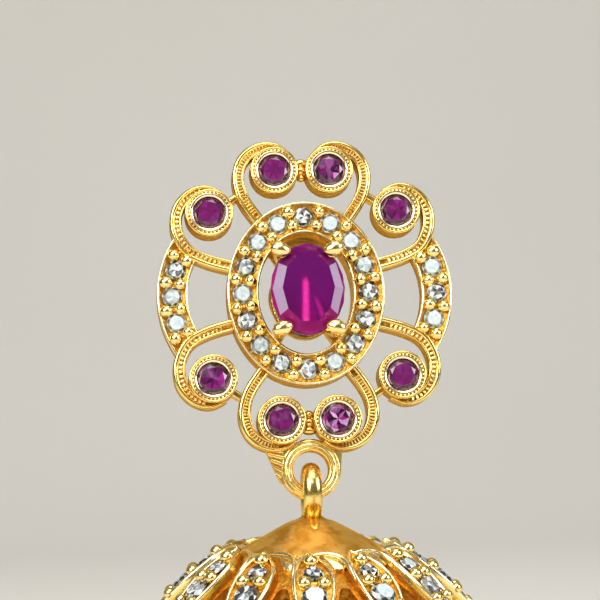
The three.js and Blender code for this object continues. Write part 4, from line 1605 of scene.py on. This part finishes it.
@dataclass
class EarPost:
    """The post and the pad behind the stone."""

    shop: Workshop
    pad_radius: float = 2.3
    pad_thickness: float = 0.6
    radius: float = 0.45
    length: float = 10.5
    chamfer: float = 0.1
    fillet: float = 0.25

    def build(self) -> None:
        """Builds the post."""
        top, pad, cut, end = self.pad_thickness, self.pad_radius, self.chamfer, -self.length
        foot = self.radius + self.fillet
        profile = [(0.0, top), (pad - cut, top), (pad, top - cut), (pad, cut), (pad - cut, 0.0), (foot, 0.0),
                   *arc((foot, -self.fillet), self.fillet, 90, 180, 5), (self.radius, end + 0.35),
                   (self.radius * 0.8, end + 0.12), (self.radius * 0.4, end), (0.0, end)]
        # Light painted shade all over.
        mesh = Sketch().turned(profile, 48, closed=False, recess=0.1).mesh("post")
        self.shop.hand_over("ear_post_turned", Body.STUD, mesh, self.shop.gold, stands_for=["ear_post"])


# The bell


@dataclass(frozen=True)
class BellForm:
    """The bell's outline, from the cap's edge down over two arcs that get steeper."""

    cap_drop: float = 1.5
    cap_top: float = 1.05
    cap_radius: float = 4.65
    cap_wall: float = 0.45
    slope: float = math.radians(29.5)
    gap: float = 0.05
    arcs: tuple[tuple[float, float], ...] = ((22.0, math.radians(36.0)), (13.0, math.radians(72.0)))
    petals: int = 12
    first: float = math.radians(-4.5)

    def cap_height(self, radius: float) -> float:
        """Height of the cap's outer face."""
        return -self.cap_drop - max(0.0, radius - self.cap_top) * math.tan(self.slope)

    @property
    def length(self) -> float:
        """Length of the dome's slope from the cap's edge to the hem."""
        slopes = [self.slope, *[to for _, to in self.arcs]]
        return sum(radius * (to - last) for (radius, to), last in zip(self.arcs, slopes))

    def at(self, down: np.ndarray) -> tuple[np.ndarray, np.ndarray, np.ndarray]:
        """Finds places on the dome's outer face.

        Args:
            down: Distances down its slope.

        Returns:
            Radius, height and slope at each.
        """
        left = np.asarray(down, float).copy()
        radius = np.full_like(left, self.cap_radius + self.gap)
        height = np.full_like(left, self.cap_height(self.cap_radius))
        slope = np.full_like(left, self.slope)
        for size, to in self.arcs:
            turn = np.minimum(left / size, to - slope)
            radius += size * (np.sin(slope + turn) - np.sin(slope))
            height -= size * (np.cos(slope) - np.cos(slope + turn))
            slope = slope + turn
            left = left - turn * size
        return radius, height, slope

    def over(self, down: Any, across: Any, out: Any, bearing: Any = 0.0) -> np.ndarray:
        """Places over the dome.

        Args:
            down: Distance down the slope.
            across: Distance across it.
            out: Distance out from the face.
            bearing: Bearing from the front.

        Returns:
            The places.
        """
        down, across, out, bearing = np.broadcast_arrays(
            *[np.asarray(v, float) for v in (down, across, out, bearing)])
        radius, height, slope = self.at(down)
        reach = radius + out * np.sin(slope)
        turn = bearing + across / reach
        return np.stack([reach * np.sin(turn), -reach * np.cos(turn), height + out * np.cos(slope)], axis=-1)


@dataclass
class BellCap:
    """The satin cone with its collar and drip, and the grooved eye that hangs from the ring."""

    shop: Workshop
    form: BellForm
    collar: float = 0.6
    collar_height: float = 0.5
    drip_middle: tuple[float, float] = (0.06, -1.12)
    drip_half: tuple[float, float] = (0.44, 0.66)
    eye_width: float = 1.2
    eye_thickness: float = 1.0
    eye_inner: float = 0.7203
    eye_crown: float = 0.3
    eye_groove: float = 0.08

    DRIP_LEVELS = ((1.0, -0.06), (0.86, 0.02), (0.55, 0.06), (0.05, 0.08))

    def drip(self, slope: Profile) -> np.ndarray:
        """Rows of points over the drop of gold that ran down from the collar.

        Args:
            slope: Radius and height of the cone below the collar.

        Returns:
            The rows, from the drop's edge to its middle.
        """
        (x, y), (wide, high) = self.drip_middle, self.drip_half
        top = self.form.cap_height(0.0)
        rows = np.array([[(x + wide * size * math.cos(w),
                           y - high * size * math.sin(w) * (1.5 if math.sin(w) > 0 else 0.9), lift)
                          for w in np.linspace(0, TURN, 25)[:-1]] for size, lift in self.DRIP_LEVELS])
        reach = np.hypot(rows[:, :, 0], rows[:, :, 1])
        rows[:, :, 2] += np.interp(reach, [0.3, *[p[0] for p in slope]], [top + 0.2, *[p[1] for p in slope]])
        return rows

    def cone(self) -> None:
        """Builds the cone with its collar and drip."""
        form, collar, edge = self.form, self.collar, self.form.cap_radius
        under = form.cap_wall / math.cos(form.slope)
        top, low = form.cap_height(0.0), form.cap_height(edge)
        outer = [tuple(p) for p in rounded_line([
            (collar * 0.92, top + self.collar_height), (collar, top + 0.36), (collar * 1.02, top + 0.16),
            (collar + 0.14, top + 0.02), (form.cap_top, top - 0.14), (1.7, form.cap_height(1.7) - 0.02),
            (3.0, form.cap_height(3.0)), (4.4, form.cap_height(4.4))], 44)]
        hem = [(4.55, form.cap_height(4.55) - 0.01), (edge, low - 0.12), (edge, low - under + 0.05),
               (edge - 0.06, low - under)]
        inner = [(r, form.cap_height(r) - under) for r in (3.0, form.cap_top, 0.0)]
        profile = [(0.0, top + self.collar_height), *outer, *hem, *inner]
        sketch = Sketch().turned(profile, 144, closed=False).grid(self.drip(outer[4:]), False, True, -1.0)
        self.shop.hand_over("cap_cone", Body.BELL, sketch.mesh("cone"), self.shop.satin, Slot.SATIN,
                            ["bell_cap"], 50.0)

    def eye(self) -> None:
        """Builds the eye as a band with a groove round its outside."""
        thick = self.eye_thickness
        bearings = np.radians(np.linspace(-90, 270, 40, endpoint=False))
        across, out = np.cos(bearings), np.sin(bearings)
        groove = np.where(out > 0, np.exp(-(across / 0.16) ** 2), 0.0)
        height = thick * (0.5 + 0.5 * np.copysign(np.abs(out) ** 0.8, out))
        angles = np.linspace(0, TURN, 96, endpoint=False)[:, None]
        crown = 1 + self.eye_crown * np.maximum(0.0, np.cos(angles)) ** 2 / thick
        front = np.clip(0.5 - 0.9 * np.cos(angles), 0.0, 1.0)
        reach = self.eye_inner + height * crown - self.eye_groove * front * groove
        rows = np.stack([np.broadcast_to(self.eye_width / 2 * across, reach.shape),
                         np.sin(angles) * reach, np.cos(angles) * reach], axis=-1)
        # Painted shade in the groove at the front, and on the crown of the arch, which faces away from the
        # light.
        depth = np.maximum(front * groove, 0.8 * crown - 0.8 + 0.3 * (crown > 1.1))
        mesh = Sketch().grid(rows, True, True, depth).mesh("eye")
        self.shop.hand_over("cap_eye", Body.BELL, mesh, self.shop.gold, sharp=60.0)


@dataclass
class Dome:
    """The pierced wall of the bell, its ledge under the cap and its rounded hem."""

    shop: Workshop
    form: BellForm
    wall: float = 0.8
    drop_top: float = 3.3
    drop_length: float = 2.1
    drop_small: float = 0.35
    drop_large: float = 1.05
    field_end: float = 7.9
    ledge_width: float = 0.95
    ledge_thickness: float = 0.5
    hem_height: float = 1.1
    hem_bulge: float = 0.58

    HEM = ((0.3, 0.02), (0.62, 0.12), (0.85, 0.26), (0.97, 0.42), (1.0, 0.56), (0.95, 0.72), (0.8, 0.86),
           (0.5, 0.96), (0.0, 1.0), (-0.6, 0.97), (-1.0, 0.85))

    def drop_line(self, count: int) -> np.ndarray:
        """Draws the outline of a drop, across and down, as seen from outside.

        Args:
            count: Number of points.

        Returns:
            The points, from its right side and counter-clockwise.
        """
        small, large = (0.0, -self.drop_top), (0.0, -self.drop_top - self.drop_length)
        tangent = math.degrees(math.asin((self.drop_large - self.drop_small) / self.drop_length))
        points = [*arc(small, self.drop_small, tangent, 180 - tangent, 16),
                  *arc(large, self.drop_large, 180 - tangent, 360 + tangent, 48)]
        return evened(np.array(points), count, True)

    def field(self) -> Any:
        """Draws one sector of the wall with its drop cut through, and copies it round.

        Returns:
            The mesh.
        """
        form, count, rings = self.form, 96, 9
        half, low = math.pi / form.petals, -self.field_end
        corners = np.array([(half, low), (half, 0.0), (-half, 0.0), (-half, low), (half, low)])
        steps = np.linspace(0, 1, count // 4, endpoint=False)[:, None]
        box = np.vstack([a + (b - a) * steps for a, b in zip(corners[:-1], corners[1:])])
        drop = self.drop_line(count * 4)
        middle = np.array([0.0, -self.drop_top - self.drop_length * 0.55])
        radius, _, _ = form.at(-box[:, 1])
        box_aim = np.arctan2(box[:, 1] - middle[1], box[:, 0] * radius - middle[0])
        drop_aim = np.arctan2(drop[:, 1] - middle[1], drop[:, 0] - middle[0])
        order = np.argsort(drop_aim)
        aims = np.concatenate([drop_aim[order] + turn for turn in (-TURN, 0.0, TURN)])
        line = np.vstack([drop[order]] * 3)
        hole = np.column_stack([np.interp(box_aim, aims, line[:, i]) for i in range(2)])
        hole[:, 0] /= form.at(-hole[:, 1])[0]
        shares = np.linspace(0, 1, rings) ** 1.4
        sheets = []
        for out in (0.0, -self.wall):
            ways = [hole + (box - hole) * share for share in shares]
            sheets.append(np.array([form.over(-at[:, 1], 0.0, out, at[:, 0]) for at in ways]))
        # Painted shade: most next to the drop, less towards the sector's edges, on the inner face, and most
        # on the drop's wall.
        depth = np.broadcast_to(np.interp(shares, [0, 1], [0.75, 0.55])[:, None], (rings, count))
        levels = np.linspace(0, 1, 4)[:, None, None]
        sketch = Sketch().grid(sheets[0], False, True, depth).grid(sheets[1][::-1], False, True, 0.5)
        sketch.grid(sheets[1][0][None] * (1 - levels) + sheets[0][0][None] * levels, False, True, 0.9)
        return self.shop.round.run(sketch.mesh("field"), Count=form.petals, First=form.first + half,
                                   Finish=self.shop.dome_gold)

    def skirt(self) -> Any:
        """Draws the ledge, the plain part under the petals and the hem.

        Returns:
            The mesh.
        """
        form, sides = self.form, 24 * self.form.petals
        radius, height, slope = form.at(np.linspace(self.field_end, form.length, 14))
        outer = list(zip(radius, height))
        inner = list(zip(radius - self.wall * np.sin(slope), height - self.wall * np.cos(slope)))
        hem = [(radius[-1] + out * self.hem_bulge, height[-1] - down * self.hem_height)
               for out, down in self.HEM]
        # Light painted shade outside and on the hem, more on the inside and on the ledge.
        depth = [0.15] * (len(outer) + len(hem)) + [0.5] * len(inner)
        start = form.first - math.pi / 2
        sketch = Sketch()
        sketch.turned([*outer, *hem, *reversed(inner)], sides, recess=depth, closed=False, start=start)
        sketch.turned(self.ledge(), sides, recess=0.5, closed=False, start=start)
        return sketch.mesh("skirt")

    def ledge(self) -> Profile:
        """Draws the step inside the dome that carries the cap.

        Returns:
            Radius and height of its points.
        """
        form = self.form
        under = form.cap_wall / math.cos(form.slope) + form.gap
        ledge = form.cap_radius - self.ledge_width
        radius, height, slope = (float(v) for v in form.at(np.array(0.0)))
        face = form.cap_height(ledge) - under
        return [(radius, height), (radius, form.cap_height(radius) - under), (ledge, face),
                (ledge, face - self.ledge_thickness),
                (radius - self.wall * math.sin(slope), height - self.wall * math.cos(slope))]

    def build(self) -> None:
        """Builds the dome."""
        shop = self.shop
        shop.hand_over("dome_field", Body.BELL, self.field(), stands_for=["bell_petals"], sharp=40.0)
        shop.hand_over("dome_skirt", Body.BELL, self.skirt(), shop.dome_gold, sharp=50.0)


@dataclass
class Petals:
    """The twelve leaves with their rims, stones and beads."""

    shop: Workshop
    form: BellForm
    start: float = 0.3
    length: float = 7.6
    half_width: float = 1.35
    height: float = 0.55
    hook: float = 0.4
    rim: float = 0.13
    rim_rise: float = 0.22

    SECTIONS = ((0.0, 0.05, 0.8, -1.0), (0.06, 0.36, 0.9, -0.7), (0.2, 0.84, 1, -0.2), (0.38, 1.0, 1, 0),
                (0.56, 0.9, 1, 0), (0.74, 0.6, 1, 0), (0.9, 0.34, 1, 0), (1.0, 0.05, 0.85, 0))
    STONES = ((1.95, 0.0, 0.64), (3.8, 0.0, 0.82), (5.3, 0.0, 0.5), (6.3, 0.0, 0.34))
    BEADS = ((0.95, 0.0, 0.46), (2.8, 0.6, 0.44), (2.8, -0.6, 0.44), (4.75, 0.72, 0.4), (4.75, -0.72, 0.4),
             (5.85, 0.46, 0.31), (5.85, -0.46, 0.31), (6.9, 0.0, 0.28))
    SWEEP = ((-1.33, 2.9), (-1.28, 2.1), (-1.2, 1.4), (-1.32, 0.85), (-1.75, 0.42), (-2.4, 0.22), (-3.0, 0.3))
    PLATE = ((-2.15, 0.08), (-2.1, 0.6), (-1.85, 1.45), (-1.15, 1.45), (-0.85, 0.6), (-0.9, 0.08),
             (-2.15, 0.08))

    def sides(self, along: np.ndarray) -> tuple[np.ndarray, np.ndarray, np.ndarray]:
        """Finds the form of a petal.

        Args:
            along: Places along its length, as shares.

        Returns:
            Half width, height and lean at each.
        """
        line = rounded_line(self.SECTIONS, 160)
        half, height, lean = (np.interp(along, line[:, 0], line[:, i]) for i in (1, 2, 3))
        return half * self.half_width, height * self.height, lean * self.hook

    def leaf(self) -> Any:
        """Draws the plate of a petal with a rounded rim along its edge, and copies it.

        Returns:
            The mesh.
        """
        along = np.linspace(0.0, 1.0, 64)
        rows = []
        for a, h, z, shift in zip(along, *self.sides(along)):
            rim = min(self.rim, h * 0.45)
            left = [(-h, -0.15), (-h, z * 0.5), *arc((-h + rim, z + self.rim_rise - rim), rim, 180, 0, 6),
                    (-h + 2 * rim, z - 0.03)]
            shape = np.array([*left, (0.0, z), *[(-x, y) for x, y in reversed(left)]])
            rows.append(self.form.over(self.start + a * self.length, shape[:, 0] + shift, shape[:, 1]))
        # Painted shade on the plate's sides and middle, and a painted highlight on the rims.
        side = [0.8, 0.5, *[-1.0] * 7, 0.9]
        sketch = Sketch().grid(rows, False, True, [*side, 0.8, *reversed(side)], True)
        return self.copied(sketch.mesh("leaf"), self.shop.gold)

    def sweep(self) -> Any:
        """Draws the raised line from a petal's left edge over its neighbour's tip, with a plate; both carry a
        painted highlight.

        Returns:
            The mesh, with its copies.
        """
        line = rounded_line(self.SWEEP, 48)
        share = np.linspace(0, 1, len(line))
        size = np.interp(share, [0, 0.2, 0.8, 1], [0.07, 0.14, 0.14, 0.05])
        height = np.interp(share, [0, 0.3, 0.6, 1], [0.6, 0.66, 0.62, 0.3])
        w = np.linspace(0, TURN, 10, endpoint=False)
        rows = [self.form.over(d + ad * r * np.cos(w), x + ax * r * np.cos(w), h + r * np.sin(w))
                for (x, d), (ax, ad), r, h in zip(line, across_of(line, False), size, height)]
        plate = rounded_line(self.PLATE, 36)
        middle = plate.mean(axis=0)
        levels = []
        for share, out in ((1.0, -0.1), (1.0, 0.26), (0.85, 0.33)):
            at = middle + (plate - middle) * share
            levels.append(self.form.over(at[:, 1], at[:, 0], out))
        # A painted highlight on the line and on the plate.
        sketch = Sketch().grid(rows, False, True, -1.0, True).grid(levels, False, True, -0.7, True)
        return self.copied(sketch.mesh("sweep"), self.shop.bead_gold)

    def copied(self, mesh: Any, finish: Any) -> Any:
        """A mesh repeated at every petal."""
        return self.shop.round.run(mesh, Count=self.form.petals, First=self.form.first, Finish=finish)

    def on_petals(self, rows: Iterable[tuple[float, float, float]], out: float) -> list[Place]:
        """Places on every petal.

        Args:
            rows: Distance from the tip, place across and radius of each.
            out: Height over the petal's face.

        Returns:
            The places, with their turns and sizes.
        """
        made = []
        for k in range(self.form.petals):
            bearing = self.form.first + k * TURN / self.form.petals
            for down, across, radius in rows:
                _, _, lean = self.sides(np.array([down / self.length]))
                at = self.form.over(self.start + down, across + lean[0], self.height + out, bearing)
                reach, _, slope = self.form.at(np.array(self.start + down))
                turn = bearing + across / float(reach)
                made.append(Place(at, (float(slope), 0.0, turn), (radius,) * 3))
        return made

    def build(self) -> None:
        """Builds the petals."""
        shop = self.shop
        shop.hand_over("petal_leaves", Body.BELL, self.leaf(), sharp=50.0)
        shop.hand_over("petal_sweeps", Body.BELL, self.sweep(), sharp=50.0)
        shop.set_out("petal_stones", Body.BELL, brilliant_mesh(), self.on_petals(self.STONES, 0.06),
                     shop.mottled, slot=Slot.CLEAR, sharp=1.0)
        shop.set_out("petal_beads", Body.BELL, bead_mesh(14), self.on_petals(self.BEADS, 0.12),
                     shop.bead_gold)


# The studio


@dataclass
class Studio:
    """Pale floor, soft lights and the camera at the photograph's angle."""

    floor_height: float = -30.2
    target: tuple[float, float, float] = (-0.45, -3.0, -0.02)
    distance: float = 140.0
    aside: float = 5.0
    roll: float = 1.0
    lens: float = 130.2

    LIGHTS = (
        ("left_window", (-130.0, -170.0, 110.0), 120.0, 0.42, (1.0, 0.98, 0.94)),
        ("right_window", (190.0, -110.0, 90.0), 110.0, 0.30, (0.97, 0.99, 1.0)),
        ("front", (-30.0, -150.0, 155.0), 90.0, 0.09, (1.0, 0.99, 0.95)),
        ("top", (10.0, -65.0, 190.0), 140.0, 0.22, (1.0, 0.98, 0.94)),
    )
    LIGHTS_AIM = (0.0, -3.0, -8.0)
    SKY = ((0.0, (0.03, 0.025, 0.02)), (0.45, (0.06, 0.05, 0.035)), (0.6, (0.13, 0.125, 0.11)),
           (1.0, (0.3, 0.3, 0.3)))

    def floor(self) -> None:
        """Builds a pale sweep: a floor that rises behind into a wall."""
        profile = [(-400.0, 0.0), (120.0, 0.0), *[(120 + 120 * math.sin(a), 120 - 120 * math.cos(a))
                   for a in np.linspace(0.1, math.pi / 2, 14)], (240.0, 700.0)]
        rows = np.array([[(x, y, z + self.floor_height) for y, z in profile] for x in (-700.0, 700.0)]) * MM
        mesh = Sketch().grid(rows).mesh("floor", 1e-7)
        made, sheet = new_material("pale_floor")
        color = sheet.mix(sheet.noise(90.0, 2.0), (0.74, 0.72, 0.67), (0.80, 0.78, 0.74))
        sheet.surface(Base_Color=color, Roughness=0.85)
        mesh.materials.append(made)
        piece = bpy.data.objects.new("floor", mesh)
        bpy.context.scene.collection.objects.link(piece)

    def lights(self) -> None:
        """Adds the soft lights, which all face the stud: millimetres and watts."""
        for name, at, size, power, color in self.LIGHTS:
            data = bpy.data.lights.new(name, "AREA")
            data.shape, data.size, data.energy, data.color = "SQUARE", size * MM, power, color
            lamp = bpy.data.objects.new(name, data)
            lamp.location = Vector(at) * MM
            aim = Vector(self.LIGHTS_AIM) * MM - lamp.location
            lamp.rotation_euler = aim.to_track_quat("-Z", "Y").to_euler()
            bpy.context.scene.collection.objects.link(lamp)

    def world(self) -> None:
        """Sets soft light from all round, darker below."""
        world = bpy.data.worlds.new("studio")
        world.use_nodes = True
        bpy.context.scene.world = world
        bpy.context.scene.view_settings.view_transform = "Standard"
        sheet = NodeSheet(world.node_tree)
        place = sheet.add("ShaderNodeTexCoord", output="Generated")
        split = sheet.add("ShaderNodeSeparateXYZ", None, {"Vector": place}, "Z")
        color = sheet.ramp(self.SKY, split * 0.5 + 0.5)
        sky = sheet.add("ShaderNodeBackground", None, {"Color": color, "Strength": 1.0})
        sheet.add("ShaderNodeOutputWorld", None, {"Surface": sky})

    def camera(self) -> None:
        """Sets the camera."""
        a, r = math.radians(self.aside), math.radians(self.roll)
        ahead = Vector((math.sin(a), math.cos(a), 0.0))
        right, up = Vector((math.cos(a), -math.sin(a), 0.0)), Vector((0.0, 0.0, 1.0))
        x_axis = right * math.cos(r) - up * math.sin(r)
        y_axis = right * math.sin(r) + up * math.cos(r)
        data = bpy.data.cameras.new("camera")
        data.lens, data.sensor_width = self.lens, 36.0
        data.clip_start, data.clip_end = 0.01, 10.0
        eye = bpy.data.objects.new("camera", data)
        turn = Matrix((x_axis, y_axis, -ahead)).transposed().to_4x4()
        eye.matrix_world = Matrix.Translation((Vector(self.target) - ahead * self.distance) * MM) @ turn
        bpy.context.scene.collection.objects.link(eye)
        bpy.context.scene.camera = eye

    def build(self) -> None:
        """Builds the studio."""
        self.floor()
        self.world()
        self.lights()
        self.camera()


def write_sizes() -> None:
    """Updates the view layer."""
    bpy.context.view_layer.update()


def main() -> None:
    """Builds the earring and the studio in order."""
    logging.basicConfig(level=logging.INFO, format="%(message)s")
    shop, sizes, form = Workshop(), StudSizes(), BellForm()
    bands = StoneBands(shop, sizes)
    bands.castings()
    bands.stones_and_beads()
    Cups(shop, sizes).build()
    Curls(shop, sizes).build()
    Links(shop, sizes).build()
    CenterStone(shop, sizes).build()
    HangRing(shop, sizes).build()
    EarPost(shop).build()
    cap = BellCap(shop, form)
    cap.cone()
    cap.eye()
    Dome(shop, form).build()
    Petals(shop, form).build()
    Studio().build()
    write_sizes()
    LOG.info("earring done")


if __name__ == "__main__":
    main()
